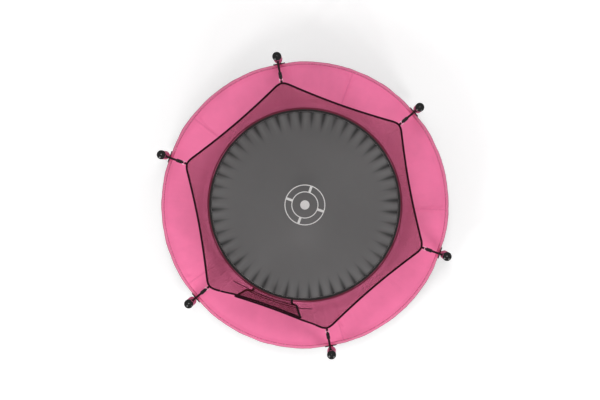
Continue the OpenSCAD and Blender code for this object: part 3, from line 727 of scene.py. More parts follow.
def tree_with(name, **inputs):
    """A new Geometry Nodes tree: its graph, the geometry that comes in, and a wire for each named input."""
    tree = bpy.data.node_groups.new(name, "GeometryNodeTree")
    tree.interface.new_socket("Geometry", in_out="INPUT", socket_type="NodeSocketGeometry")
    for key, kind in inputs.items():
        words = key.replace("_", " ")
        tree.interface.new_socket(words, in_out="INPUT", socket_type="NodeSocket" + kind)
    tree.interface.new_socket("Geometry", in_out="OUTPUT", socket_type="NodeSocketGeometry")
    graph = Graph(tree)
    start = graph.node("NodeGroupInput")
    wires = {key: start.out(key.replace("_", " ")) for key in inputs}
    return graph, start, wires


def tree_end(graph, geometry, finish):
    """Realize Instances, Set Material and the tree's output."""
    real = graph.node("GeometryNodeRealizeInstances", None, geometry)
    made = graph.node("GeometryNodeSetMaterial", None, real, Material=finish)
    end = graph.tree.nodes.new("NodeGroupOutput")
    graph.tree.links.new(made.socket, end.inputs[0])
    return graph.tree


def around_tree():
    """Repeats the incoming shape round the Z axis."""
    g, shape, wires = tree_with("around", Count="Int", First="Float", Step="Float", Material="Material")
    spots = g.node("GeometryNodeMeshLine", None, wires["Count"], Offset=(0.0, 0.0, 0.0))
    turn = g.node("GeometryNodeInputIndex") * wires["Step"] + wires["First"]
    spin = g.node("ShaderNodeCombineXYZ", None, 0.0, 0.0, turn)
    spin = g.node("FunctionNodeEulerToRotation", None, spin)
    copies = g.node("GeometryNodeInstanceOnPoints", None, spots, Instance=shape, Rotation=spin)
    return tree_end(g, copies, wires["Material"])


def coil_tree():
    """A wound spring along X, joined to the incoming hooks."""
    kinds = dict.fromkeys(("Coil_Radius", "Wire_Radius", "Turns", "Start", "Length", "Height"), "Float")
    g, hooks, wires = tree_with("coil", **kinds, Material="Material")
    wire = g.node("GeometryNodeCurvePrimitiveCircle", None, 5, Radius=wires["Wire_Radius"])
    radii = {"Start_Radius": wires["Coil_Radius"], "End_Radius": wires["Coil_Radius"]}
    run = {"Resolution": 9, "Rotations": wires["Turns"], "Height": wires["Length"]}
    helix = g.node("GeometryNodeCurveSpiral", None, **run, **radii)
    body = g.node("GeometryNodeCurveToMesh", None, helix, wire, Fill_Caps=True)
    move = g.node("ShaderNodeCombineXYZ", None, wires["Start"], 0.0, wires["Height"])
    laid = g.node("GeometryNodeTransform", None, body, Translation=move, Rotation=(0.0, TAU / 4, 0.0))
    join = g.tree.nodes.new("GeometryNodeJoinGeometry")
    g.tree.links.new(laid.socket, join.inputs[0])
    g.tree.links.new(hooks.socket, join.inputs[0])
    return tree_end(g, Wire(g, join.outputs[0]), wires["Material"])


def stitch_tree():
    """Short stitches along the incoming line of edges."""
    kinds = dict.fromkeys(("Pitch", "Length", "Thickness"), "Float")
    g, line, wires = tree_with("stitches", **kinds, Material="Material")
    curve = g.node("GeometryNodeMeshToCurve", None, line)
    spaced = g.node("GeometryNodeResampleCurve", {"mode": "LENGTH"}, curve, Length=wires["Pitch"])
    stitch = g.node("GeometryNodeMeshIcoSphere", None, 1.0, 1)
    scale = g.node("ShaderNodeCombineXYZ", None, wires["Length"] / 2, wires["Thickness"], wires["Thickness"])
    tangent = g.node("GeometryNodeInputTangent")
    spin = g.node("FunctionNodeAlignRotationToVector", {"axis": "X"}, Vector=tangent)
    sewn = g.node("GeometryNodeInstanceOnPoints", None, spaced, Instance=stitch, Rotation=spin, Scale=scale)
    return tree_end(g, sewn, wires["Material"])


def fold_tree():
    """Presses radial folds into the edge of a flat round mat and raises its middle a little."""
    kinds = dict.fromkeys(("Depth", "Run", "Edge", "Step", "Rise", "Middle"), "Float")
    g, shape, wires = tree_with("folds", **kinds, Material="Material")
    parts = g.node("ShaderNodeSeparateXYZ", None, g.node("GeometryNodeInputPosition"))
    radius, offset, reach = near_fold(g, parts, parts.out("Y"), wires["Step"])
    inner = wires["Edge"] - wires["Run"] * (reach * 0.5 + 0.6)
    near_edge = radius.ramp(inner, wires["Edge"])
    valley = offset.bell(0.15) * near_edge
    hump = (0.5 - offset).bell(0.2) * near_edge
    middle = radius.bell(wires["Middle"]) * wires["Rise"]
    height = middle + wires["Depth"] * (hump * 0.35 - valley)
    lift = g.node("ShaderNodeCombineXYZ", None, 0.0, 0.0, height)
    pressed = g.node("GeometryNodeSetPosition", None, shape, Offset=lift)
    return tree_end(g, pressed, wires["Material"])


AROUND = around_tree()
COIL = coil_tree()
STITCHES = stitch_tree()
FOLDS = fold_tree()


def grown(name, host, tree, soft=True, **values):
    """The plain mesh that a tree makes of a host object, which is then removed."""
    modifier = host.modifiers.new("grow", "NODES")
    modifier.node_group = tree
    for item in tree.interface.items_tree:
        key = item.name.replace(" ", "_")
        if item.in_out == "INPUT" and key in values:
            modifier[item.identifier] = values[key]
    mesh = evaluated_mesh(host)
    mesh.name = name
    bpy.data.objects.remove(host)
    return from_mesh(name, mesh, values["Material"], soft)


def line_host(points, closed=False):
    """An object that is only a line of edges through the points."""
    mesh = bpy.data.meshes.new("line")
    edges = [(i, i + 1) for i in range(len(points) - 1)]
    if closed:
        edges.append((len(points) - 1, 0))
    mesh.from_pydata(points, edges, [])
    return from_mesh("line", mesh, None)


def at_poles(name, part, finish):
    """The part at every pole, as one piece."""
    return grown(name, part, AROUND, Count=POLES, First=0.0, Step=SIDE, Material=finish)


def at_springs(name, part, finish, count=SPRINGS, first=0):
    """The part at a run of neighbouring springs, as one piece."""
    start = (first + 0.5) * SPRING_STEP
    return grown(name, part, AROUND, Count=count, First=start, Step=SPRING_STEP, Material=finish)


STITCH_PITCH = 6 * MM
STITCH_L = 4.4 * MM
STITCH_R = 0.55 * MM


def stitched(name, lines, finish, pitch=STITCH_PITCH, length=STITCH_L):
    """Rows of stitches along lines, each given as (points, closed)."""
    sizes = {"Pitch": pitch, "Length": length, "Thickness": STITCH_R}
    rows = [grown(name, line_host(*line), STITCHES, **sizes, Material=finish) for line in lines]
    return joined(name, rows, finish)


# ---------------------------------------------------------------- camera, light and floor

CAMERA_TURN = math.radians(19.6)
CAMERA_HEIGHT = 60.0
CAMERA_OVER = (188 * MM, 188 * MM)
CAMERA_AIM = (-31.3 * MM, 31.7 * MM)
PAD_LEVEL = 495 * MM
CAMERA_LENS = 561.1
SENSOR_W = 36.0


def turned(x, y, z):
    """A place given across and up the picture, in the object's frame."""
    return Matrix.Rotation(CAMERA_TURN, 4, "Z") @ Vector((x, y, z))


def make_camera():
    data = bpy.data.cameras.new("camera")
    data.sensor_width = SENSOR_W
    data.lens = CAMERA_LENS
    data.clip_start = 1.0
    data.clip_end = 500.0
    camera = placed("camera", data)
    place = turned(*CAMERA_OVER, PAD_LEVEL + CAMERA_HEIGHT)
    ahead = (turned(*CAMERA_AIM, PAD_LEVEL) - place).normalized()
    side = ahead.cross(turned(0, 1, 0)).normalized()
    rise = side.cross(ahead)
    camera.matrix_world = Matrix.Translation(place) @ Matrix((side, rise, -ahead)).transposed().to_4x4()
    bpy.context.scene.camera = camera


def lamp(name, kind, strength, source):
    """A new lamp that shines against the vector source."""
    data = bpy.data.lights.new(name, kind)
    data.energy = strength
    made = placed(name, data)
    made.rotation_mode = "QUATERNION"
    made.rotation_quaternion = source.to_track_quat("Z", "Y")
    return made


def sun(name, bearing, elevation, strength, spread):
    """A far lamp, with its angles in degrees: bearing is 0 at the right of the picture and 90 at its top."""
    angle, rise = math.radians(bearing), math.radians(elevation)
    source = turned(math.cos(angle) * math.cos(rise), math.sin(angle) * math.cos(rise), math.sin(rise))
    lamp(name, "SUN", strength, source).data.angle = math.radians(spread)


def soft_box(name, x, y, z, power, size):
    """A square lamp that faces the mat, x to the right of the picture's middle and y above it."""
    place = turned(x, y, z)
    made = lamp(name, "AREA", power, place - Vector((0, 0, MAT_Z)))
    made.data.size = size
    made.location = place
    made.visible_camera = False


WORLD_STRENGTH = 0.5
FLOOR_HALF = 60.0
FLOOR_GREY = (0.8, 0.8, 0.8, 1.0)
FLOOR_GLOW = 0.36
WHITE = (1.0, 1.0, 1.0, 1.0)


def seen_directly(g):
    """1 for rays that come from the camera, from a mirror-like surface or through something clear."""
    path = g.node("ShaderNodeLightPath")
    return path.out("Is Camera Ray").most(path.out("Is Glossy Ray")).most(path.out("Is Transmission Ray"))


def make_world():
    world = bpy.data.worlds.new("studio")
    bpy.context.scene.world = world
    world.use_nodes = True
    g = Graph(world.node_tree)
    strength = seen_directly(g) * (1.0 - WORLD_STRENGTH) + WORLD_STRENGTH
    sky = world.node_tree.nodes["Background"]
    world.node_tree.links.new(strength.socket, sky.inputs["Strength"])
    sky.inputs["Color"].default_value = WHITE


def make_floor():
    corners = [(x * FLOOR_HALF, y * FLOOR_HALF, 0) for x, y in ((-1, -1), (1, -1), (1, 1), (-1, 1))]
    mesh = bpy.data.meshes.new("studio_floor")
    mesh.from_pydata(corners, [], [(0, 1, 2, 3)])
    floor_paint = bpy.data.materials.new("floor_paint")
    floor_paint.use_nodes = True
    tree = floor_paint.node_tree
    tree.nodes.clear()
    g = Graph(tree)
    matt = g.node("ShaderNodeBsdfDiffuse", None, FLOOR_GREY)
    glow = g.node("ShaderNodeEmission", None, WHITE, FLOOR_GLOW)
    lit = g.node("ShaderNodeAddShader", None, matt, glow)
    shown = g.node("ShaderNodeMixShader", None, seen_directly(g), matt, lit)
    end = tree.nodes.new("ShaderNodeOutputMaterial")
    tree.links.new(shown.socket, end.inputs["Surface"])
    from_mesh("studio_floor", mesh, floor_paint, soft=False)


make_camera()
make_world()
make_floor()
sun("top", bearing=90.0, elevation=82.0, strength=0.65, spread=10.0)
soft_box("left_front", -2.96, -3.28, 6.6, power=143.0, size=1.8)
soft_box("right_front", 3.94, -4.21, 6.6, power=133.0, size=1.8)

bpy.context.scene.view_settings.view_transform = "Standard"

# ---------------------------------------------------------------- the hard parts, in the CAD's own shapes

HARD_FINISHES = {
    "top_rail": STEEL, "leg_sockets": STEEL, "u_leg": STEEL, "lower_pole": STEEL, "upper_pole": STEEL,
    "socket_screws": ZINC, "bracket_bolts": ZINC, "bracket_nuts": ZINC,
    "leg_feet": RUBBER, "pole_plugs": PLASTIC, "pole_brackets": PLASTIC, "pole_caps": GLOSS,
}


def dress_hard_parts():
    for name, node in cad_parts.items():
        for stem, finish in HARD_FINISHES.items():
            if name.startswith(stem):
                if not node.data.materials:
                    node.data.materials.append(finish)
                for slot in node.material_slots:
                    slot.material = finish


# ---------------------------------------------------------------- mat, rings and springs


MAT_RISE = 9 * MM
MAT_MIDDLE_R = 125 * MM
COLUMNS_PER_SPRING = 12


def make_mat():
    """The woven mat: a flat disc with radial folds at its edge, and two walls."""
    radii = [0.0, 20 * MM, 50 * MM]
    for end in (FABRIC_R - FOLD_RUN * 1.15, FABRIC_R):
        start = radii[-1]
        radii += [mix(start, end, (i + 1) / 16) for i in range(16)]
    columns, rows = SPRINGS * COLUMNS_PER_SPRING, len(radii) - 1

    def at(s, t):
        return polar(max(radii[round(t * rows)], 1e-4), s * TAU, MAT_Z)

    def uv(s, t):
        return tuple(polar(radii[round(t * rows)], s * TAU))[:2]

    flat = surface("mat_flat", MAT, columns, rows, at, uv, ring=True)
    cleaned(flat.data, merge=0.5 * MM)
    sizes = {"Depth": FOLD_DEPTH, "Run": FOLD_RUN, "Edge": FABRIC_R, "Step": SPRING_STEP}
    mat = grown("mat_cloth", flat, FOLDS, **sizes, Rise=MAT_RISE, Middle=MAT_MIDDLE_R, Material=MAT)
    mat = thickened(mat, MAT_T)
    fitted(mat, "jumping_mat", "bed")


def ring_path(r, z, steps=360):
    return [polar(r, TAU * i / steps, z) for i in range(steps)]


EDGE_STITCH_INSETS = (4 * MM, 13.5 * MM)


def make_mat_edge():
    """The woven band round the mat, sewn with two rows of stitches."""
    path = ring_path(MAT_R - WEBBING_W / 2, MAT_Z)
    band = swept("mat_edge_webbing", EDGE_WEB, path, band_section(WEBBING_W, WEBBING_T), closed=True)
    fitted(band, "mat_webbing", "bed")
    top = MAT_Z + WEBBING_T / 2
    rows = [(ring_path(MAT_R - inset, top, 720), True) for inset in EDGE_STITCH_INSETS]
    sewing = stitched("mat_edge_stitches", rows, GREY_THREAD)
    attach(sewing, "bed")


def make_rings():
    """Triangular wire rings and the folded webbing tabs that hold them."""
    corners = [
        Vector((RING_BASE_R, -RING_BASE_HALF, MAT_Z)), Vector((RING_BASE_R, RING_BASE_HALF, MAT_Z)),
        Vector((RING_TIP_R, RING_TIP_HALF, MAT_Z)), Vector((RING_TIP_R, -RING_TIP_HALF, MAT_Z)),
    ]
    path = rounded(corners, 4 * MM, closed=True)
    ring = swept("ring", ZINC, path, round_section(RING_WIRE_R, 8), closed=True)
    rings = at_springs("wire_rings", ring, ZINC)
    fitted(rings, "v_rings", "bed")

    wrap_r = RING_WIRE_R + STRAP_T / 2 + SLIP
    start = MAT_R - 2 * MM
    lift = WEBBING_T / 2 + STRAP_T / 2 + SLIP
    turn = arc((RING_BASE_R, 0.0), wrap_r, 90, -90, 10)
    bend = start + 3 * MM
    outline = [(start, lift), (bend, lift), *turn, (bend, -lift), (start, -lift)]
    path = [Vector((r, 0.0, MAT_Z + z)) for r, z in outline]
    wire = Vector((RING_BASE_R, 0, MAT_Z))
    tab = swept("tab", STRAP, path, band_section(TAB_W, STRAP_T), up=lambda p: p - wire)
    fitted(at_springs("ring_tab_loops", tab, STRAP), "ring_tabs", "bed")


# both hooks of a spring, as (distance from the Z axis, height above the mat) in millimetres
RING_HOOK = ((674, 10), (672, 4), (668, 3.9), (652.5, 3.9), (649.2, 2), (649.2, -4.5))
RAIL_HOOK = ((842, 10), (844.5, 2), (849, 0), (862, 0), (865.2, -2), (865.2, -7.5))
HOOK_WIRE_R = 1.5 * MM
HOOK_BEND_R = 3 * MM
SPRING_GROUPS = 12
RAIL_END_R = 862 * MM
RING_END_R = 656 * MM


def make_spring_hooks():
    """Both hooks of one spring: over the wire ring at one end, into the rail's hole at the other."""
    parts = []
    for points in (RING_HOOK, RAIL_HOOK):
        corners = [Vector((r * MM, 0.0, MAT_Z + z * MM)) for r, z in points]
        path = rounded(corners, HOOK_BEND_R, steps=3)
        wire = round_section(HOOK_WIRE_R, 6)
        parts.append(swept("hook", SPRING_STEEL, path, wire, up=Vector((0, 1, 0))))
    return joined("hooks", parts, SPRING_STEEL)


def make_springs():
    """Groups of neighbouring springs, each group one piece."""
    each = SPRINGS // SPRING_GROUPS
    values = {"Coil_Radius": COIL_R - SPRING_WIRE_R, "Wire_Radius": SPRING_WIRE_R, "Turns": COIL_TURNS}
    values |= {"Start": COIL_IN_R, "Length": COIL_OUT_R - COIL_IN_R, "Height": MAT_Z}
    for group in range(SPRING_GROUPS):
        spring = grown("spring", make_spring_hooks(), COIL, **values, Material=SPRING_STEEL)
        piece = at_springs(f"spring_group_{group + 1}", spring, SPRING_STEEL, each, group * each)
        middle = (group + 0.5) * each * SPRING_STEP
        at_rail, at_ring = (polar(r, middle, MAT_Z) for r in (RAIL_END_R, RING_END_R))
        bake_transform(piece)
        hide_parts("springs")


# ---------------------------------------------------------------- pad, skirt and ties


def pole_near(angle, reach=math.radians(9)):
    """1 at a pole, falling to 0 a little way beside it."""
    turns = angle / SIDE
    return smooth(1 - abs(turns - round(turns)) * SIDE / reach)


def seam_near(angle, reach):
    """1 on one of the pad's radial seams, falling to 0 within reach of it."""
    step = TAU / PAD_SECTORS
    turns = (angle - PAD_SEAM_TURN) / step
    return smooth(1 - abs(turns - round(turns)) * step / reach)


def pad_edge_r(angle):
    return PAD_SEAM_R - PAD_DIP * pole_near(angle)


PAD_COLUMNS = 720
PAD_TURNS = [TAU * i / PAD_COLUMNS for i in range(PAD_COLUMNS)]
PAD_CLIMB_RUN = 75 * MM
PAD_FALL_RUN = 95 * MM


def pad_outline(angle):
    """The pad's section: flat underneath, rounded at its inner edge, crowned, and thin at its seam."""
    edge = pad_edge_r(angle)
    dip = PAD_DIP * pole_near(angle)
    under = [(mix(edge - 5 * MM, PAD_IN_R + 3 * MM, t / 4), PAD_FOOT_Z) for t in range(5)]
    front = [(PAD_IN_R, PAD_FOOT_Z + 3 * MM), (PAD_IN_R, PAD_HEM_Z - 3 * MM)]
    front.append((PAD_IN_R + 3 * MM, PAD_HEM_Z))
    over = []
    for row in range(PAD_TOP_ROWS):
        t = row / (PAD_TOP_ROWS - 1)
        last = row == PAD_TOP_ROWS - 1
        r = edge - 4 * MM if last else mix(PAD_IN_R + 9 * MM, edge - 8 * MM, row / (PAD_TOP_ROWS - 2))
        climb = smooth((r - PAD_FLAT_R + 4 * MM) / PAD_CLIMB_RUN)
        climb *= 1 - 0.9 * smooth((r - edge + 90 * MM) / PAD_FALL_RUN)
        z = PAD_HEM_Z + PAD_CROWN * climb - dip * smooth((t - 0.5) * 2)
        over.append((r, z - 1.5 * MM * smooth((t - 0.9) * 10)))
    return under + front + over + [(edge - 0.6 * MM, PAD_SEAM_Z + 3 * MM), (edge, PAD_SEAM_Z)]


def make_pad():
    """The foam pad in its vinyl cover: five sectors, sewn together along radial seams."""
    outlines = [pad_outline(turn) for turn in PAD_TURNS]
    rows = len(outlines[0])

    def at(s, t):
        column, row = round(s * PAD_COLUMNS) % PAD_COLUMNS, round(t * rows) % rows
        angle = PAD_TURNS[column]
        r, z = outlines[column][row]
        top = smooth((r - PAD_FLAT_R) / (30 * MM)) * (z > PAD_HEM_Z - 1 * MM)
        wide = noise.noise(Vector((math.cos(angle) * 9, math.sin(angle) * 9, r * 3)))
        fine = noise.noise(Vector((angle * 30, r * 2.5, 7.0)))
        z += top * (1.6 * MM * wide + 1.7 * MM * fine - 2.2 * MM * seam_near(angle, math.radians(1.2)))
        return polar(r, angle, z)

    def uv(s, t):
        return (s * TAU * RAIL_R, t * rows * PAD_ROW)

    pad = surface("pad_cover", VINYL, PAD_COLUMNS, rows, at, uv, ring=True, tube=True)
    inflate(pad)
    fitted(pad, "spring_pad")
    return pad


PAD_SWELL = 6 * MM
CLOTH_FRAMES = 22
CLOTH_SETTINGS = {
    "quality": 5, "mass": 0.25, "tension_stiffness": 12.0, "compression_stiffness": 12.0,
    "shear_stiffness": 4.0, "bending_stiffness": 0.35, "vertex_group_mass": "held", "pin_stiffness": 2.0,
    "shrink_min": -0.022, "use_pressure": True, "uniform_pressure_force": 3.0,
}


def inflate(pad):
    """Lets the cover swell and crease over its foam, held at its edges, its seams and its flat underside."""
    mesh = pad.data
    held = pad.vertex_groups.new(name="held")
    rest = [v.co.copy() for v in mesh.vertices]
    for v in mesh.vertices:
        angle, r = math.atan2(v.co.y, v.co.x), math.hypot(v.co.x, v.co.y)
        inner_edge = smooth(1 - (r - PAD_FLAT_R) / (14 * MM))
        outer_edge = smooth(1 - (pad_edge_r(angle) - r) / (16 * MM))
        fixed = max(inner_edge, outer_edge, seam_near(angle, math.radians(0.9)))
        underside = v.co.z < PAD_HEM_Z - 2.5 * MM
        held.add([v.index], 1.0 if underside else fixed, "REPLACE")
    cloth = pad.modifiers.new("cloth", "CLOTH")
    for name, value in CLOTH_SETTINGS.items():
        setattr(cloth.settings, name, value)
    cloth.settings.effector_weights.gravity = 0.0
    cloth.collision_settings.use_collision = False
    cloth.point_cache.frame_start = 1
    cloth.point_cache.frame_end = CLOTH_FRAMES
    scene = bpy.context.scene
    for step in range(1, CLOTH_FRAMES + 1):
        scene.frame_set(step)
    moved = evaluated_mesh(pad)
    for v, start in zip(mesh.vertices, rest):
        shift = moved.vertices[v.index].co - start
        if shift.length > PAD_SWELL:
            shift *= PAD_SWELL / shift.length
        v.co = start + shift
    pad.modifiers.clear()
    bpy.data.meshes.remove(moved)
    pad.vertex_groups.clear()
    scene.frame_set(1)


def pad_sewing_lines():
    """Level lines beside the pad's radial seams and inside its outer edge, as (points, closed)."""
    lines = [([polar(pad_edge_r(turn) - 4.5 * MM, turn) for turn in PAD_TURNS], True)]
    for sector in range(PAD_SECTORS):
        angle = PAD_SEAM_TURN + sector * TAU / PAD_SECTORS
        start, end = PAD_FLAT_R + 6 * MM, pad_edge_r(angle) - 10 * MM
        radii = [mix(start, end, step / 40) for step in range(41)]
        for side in (-5 * MM, 5 * MM):
            lines.append(([polar(r, angle + side / r) for r in radii], False))
    return lines


def dropped_on(obj, lines, lift):
    """The lines moved onto the upper side of a piece, and lifted off it a little."""
    hit_on = obj.evaluated_get(bpy.context.evaluated_depsgraph_get())
    made = []
    for points, closed in lines:
        laid = []
        for p in points:
            hit, place, normal, _ = hit_on.ray_cast(Vector((p.x, p.y, 1.0)), Vector((0, 0, -1)))
            laid.append(place + normal * lift if hit else Vector((p.x, p.y, PAD_HEM_Z)))
        made.append((laid, closed))
    return made


def make_pad_sewing(pad):
    sewing = stitched("pad_stitches", dropped_on(pad, pad_sewing_lines(), 0.2 * MM), PINK_THREAD)
    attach(sewing, "frame")


HEM_STITCH_SHARE = 0.8


def make_skirt():
    """The skirt that hangs from the pad's outer seam, in shallow waves, with a rolled hem."""
    rows = 12

    def wall(angle, s, side):
        waves = noise.noise(Vector((math.cos(angle) * 11, math.sin(angle) * 11, s * 0.8)))
        waves += 0.5 * noise.noise(Vector((math.cos(angle) * 31, math.sin(angle) * 31, 5 + s)))
        half = 0.8 * MM + 0.9 * MM * smooth((s - 0.82) * 20) * (s < 0.99)
        ease = 1 - 0.6 * pole_near(angle)
        flare = SKIRT_FLARE * (0.5 * math.sqrt(s) + 0.5 * s)
        r = pad_edge_r(angle) + 1.1 * MM + flare + 3.0 * MM * s * waves * ease + side * half
        return polar(r, angle, PAD_SEAM_Z + 1.5 * MM - (SKIRT_DROP + 1.5 * MM) * s)

    def at(s, t):
        row = round(t * 2 * rows)
        down = row / (rows - 0.5) if row < rows else (2 * rows - 1 - row) / (rows - 0.5)
        return wall(s * TAU, min(down, 1.0), 1 if row < rows else -1)

    def uv(s, t):
        return (s * TAU * PAD_SEAM_R, t * 2 * SKIRT_DROP)

    skirt = surface("pad_skirt_cloth", SKIRT_VINYL, PAD_COLUMNS, 2 * rows, at, uv, ring=True, tube=True)
    fitted(skirt, "pad_skirt")
    points = [wall(turn, HEM_STITCH_SHARE, 1) + polar(0.3 * MM, turn) for turn in PAD_TURNS]
    hem = stitched("skirt_hem_stitches", [(points, True)], PINK_THREAD)
    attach(hem, "frame")


TIE_W = 20 * MM


def make_ties():
    """Webbing ties that go round the rail and up to the pad's underside."""
    loop_r = TUBE_R + SLIP + 0.8 * MM
    turn = arc((RAIL_R, RAIL_Z), loop_r, 80, -260, 40)
    top = (RAIL_R + 1 * MM, PAD_FOOT_Z - 1 * MM)
    outline = [(top[0] + 1 * MM, top[1]), *turn, (top[0] - 3 * MM, top[1])]
    path = [Vector((r, 0.0, z)) for r, z in outline]
    rail = Vector((RAIL_R, 0, RAIL_Z))
    tie = swept("tie", STRAP, path, band_section(TIE_W, STRAP_T), up=lambda p: p - rail)
    half = grown("tie", tie, AROUND, Count=2, First=SIDE / 4, Step=SIDE / 2, Material=STRAP)
    ties = at_poles("pad_tie_straps", half, STRAP)
    fitted(ties, "pad_ties")


# ---------------------------------------------------------------- safety net


def rim_point(k, u):
    """The rim of side k at the share u. The sides' straight lines would meet beyond the rounded corners."""
    a, b = polar(RIM_CORNER_R, k * SIDE), polar(RIM_CORNER_R, (k + 1) * SIDE)
    belly = 4 * u * (1 - u)
    turn = max(0.0, RIM_TURN_L - min(u, 1 - u) * SIDE_L) ** 2 / RIM_TURN_L / 4
    p = a.lerp(b, u)
    p = p - p.normalized() * (RIM_BOW * belly + turn)
    return Vector((p.x, p.y, NET_TOP_Z - RIM_SAG * belly))


def foot_point(k, u, z):
    return polar(NET_FOOT_R, (k + u) * SIDE, z)


def net_point(k, u, v, foot_z=NET_FOOT_Z):
    foot = foot_point(k, u, foot_z)
    top = rim_point(k, u) - Vector((0, 0, RIM_TAPE_R + SLIP))
    return foot.lerp(top, v)


def slack(k, u, v):
    """How far the net hangs out of its straight line: soft folds that fade towards every sewn edge."""
    fade = math.sin(math.pi * v) * (4 * u * (1 - u)) ** 0.5
    return fade * 0.8 * MM * noise.noise(Vector((k * 3.7 + u * 4.5, v * 2.2, 1.3)))


NET_HEIGHT = (rim_point(0, 0.5) - foot_point(0, 0.5, NET_FOOT_Z)).length
NET_ROWS = 40
PANEL_SIDES = (0, 1, 2, 3, 5)


def net_cloth(name, at, width, columns):
    """A panel of netting through at(s, t), with two walls."""
    cloth = surface(name, NET, columns, NET_ROWS, at, lambda s, t: (s * width, t * NET_HEIGHT))
    return thickened(cloth, NET_T, NET_CROSSING)


def make_net():
    """The net's five whole panels, and the two fixed strips beside its entrance."""
    area = (SIDE_L + NET_FOOT_R * SIDE) / 2 * NET_HEIGHT
    for number, k in enumerate(PANEL_SIDES, 1):
        panel = net_cloth(
            f"net_cloth_{number}",
            lambda s, t, k=k: outward(net_point(k, s, t), slack(k, s, t)),
            SIDE_L, 44)
        fitted(panel, f"net_panel_{number}")
    strip_w = ROOT_SHARE * SIDE_L
    inner_end = ROOT_SHARE - ROOT_GAP_SHARE
    for side, low, high in (("left", 0.0, inner_end), ("right", 1 - inner_end, 1.0)):
        strip = net_cloth(
            f"entrance_strip_{side}",
            lambda s, t, low=low, high=high: net_point(ENTRANCE, mix(low, high, s), t),
            strip_w, 6)
        fitted(strip, "entrance_strips")


def flap_jog(v):
    """How far a flap's free edge stands out sideways: it steps in below its cross seam, as sewn."""
    below = -math.sin(math.pi / 2 * min(1.0, v / JOG_SHARE))
    above = 1 - smooth((v - JOG_SHARE) / (1 - JOG_SHARE))
    return FLAP_JOG * mix(below, above, smooth((v - JOG_SHARE) * 12 + 0.5))


def flap_point(s, v, way, inset=0.0):
    """A point of a flap: s runs from its root to its free edge. way is 1 inside and -1 outside."""
    width = mix(NET_FOOT_R * SIDE, SIDE_L, v)
    free = mix(FREE_FOOT_SHARE, FREE_TOP_SHARE, v) + (flap_jog(v) - inset) / width
    u = mix(ROOT_SHARE + ROOT_GAP_SHARE, free, s)
    foot_z = NET_FOOT_Z + FLAP_LIFT + FLAP_RISE * s
    p = net_point(ENTRANCE, u if way > 0 else 1 - u, v, foot_z)
    return outward(p, -way * FLAP_GAP / 2 * smooth(s / FLAP_SPLIT))


FLAP_BLEND = 0.16


def make_flap(name, way):
    """One flap of netting, which bends at its root seam, with a binding round its upper and free edges."""
    inset = BINDING_R + SLIP
    width = (FREE_TOP_SHARE - ROOT_SHARE) * SIDE_L
    cloth = net_cloth(
        f"{name}_cloth",
        lambda s, t: outward(flap_point(s, t, way, inset), slack(way + 9, s, t) * 0.35),
        width, 32)
    lift = Vector((0, 0, BINDING_R + 2 * SLIP))
    start = ROLL_GAP / width
    steps = 40
    top = [flap_point(mix(start, 1, i / steps), 1, way) + lift for i in range(steps)]
    free = [flap_point(1, 1 - j / steps, way) + lift * (1 - j / steps) for j in range(steps + 1)]
    turn = rounded([top[-2], top[-1].lerp(free[0], 0.9), free[1]], 12 * MM)
    path = top[:-2] + turn + free[2:]
    binding = swept(f"{name}_roll", TAPE, path, round_section(BINDING_R, 12, 1.25), up=off_axis)
    along = [mix(0.02, 1, i / steps) for i in range(steps + 1)]
    across = [flap_point(s, CROSS_SEAM_SHARE, way, inset / 2) for s in along]
    seam = swept(f"{name}_seam", TAPE, across, round_section(SEAM_ROLL_R, 8), up=off_axis)
    root, bent = flap_point(0, 0.5, way), flap_point(FLAP_BLEND, 0.5, way)
    tape = (f"{name}_binding", "dark_tape")
    for piece, node, slot in ((cloth, name, "net_mesh"), (binding, *tape), (seam, *tape)):
        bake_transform(piece)
        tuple(root)
        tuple(bent)
        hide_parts(node)
    foot = (FREE_FOOT_SHARE - ROOT_SHARE) * NET_FOOT_R * SIDE
    area = (width + foot) / 2 * NET_HEIGHT
    cut, edges = (width, NET_HEIGHT), [binding, seam]
    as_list(edges)


def make_rim():
    """The rolled tape round the net's upper edge, open at the entrance, and the hem tape at its foot."""
    stub = ROOT_SHARE - ROOT_GAP_SHARE - ROLL_GAP / SIDE_L
    path = [rim_point(ENTRANCE, mix(1 - stub, 1, i / 6)) for i in range(6)]
    path += [rim_point(ENTRANCE + 1 + k, i / 40) for k in range(POLES - 1) for i in range(40)]
    path += [rim_point(ENTRANCE, stub * i / 6) for i in range(7)]
    roll = swept("net_rim_roll", TAPE, path, round_section(RIM_ROLL_R, 12), up=off_axis)
    fitted(roll, "net_rim_tape")
    path = ring_path(NET_FOOT_R, HEM_Z, 480)
    hem = swept("net_hem_tape", HEM, path, band_section(HEM_W, 2 * MM), closed=True)
    fitted(hem, "net_hem")


# ---------------------------------------------------------------- straps between the caps and the net


STRAP_ALONG = Vector((math.cos(STRAP_TILT), 0, math.sin(STRAP_TILT)))
STRAP_ABOVE = Vector((-math.sin(STRAP_TILT), 0, math.cos(STRAP_TILT)))


def on_strap_line(s, h):
    """A point s along the strap from the net's corner and h above it, for the pole at 0 degrees."""
    return Vector((RIM_R, 0, NET_TOP_Z)) + STRAP_ALONG * s + STRAP_ABOVE * h


def strap_part(name, outline):
    """A run of strap through (s, h) points, with its flat face along its path."""
    path = [on_strap_line(s, h) for s, h in outline]
    side = Vector((0, 1, 0))

    def face(i):
        before, after = path[max(i - 1, 0)], path[min(i + 1, len(path) - 1)]
        return side.cross((after - before).normalized())

    lifts = {tuple(p): face(i) for i, p in enumerate(path)}
    return swept(name, STRAP, path, band_section(STRAP_W, STRAP_T), up=lambda p: lifts[tuple(p)])


def oblong(low, high, half):
    """The corners of a rectangle on the strap's line, as (s, side) points."""
    corners = ((low, -half), (high, -half), (high, half), (low, half))
    return [Vector((s, side, 0)) for s, side in corners]


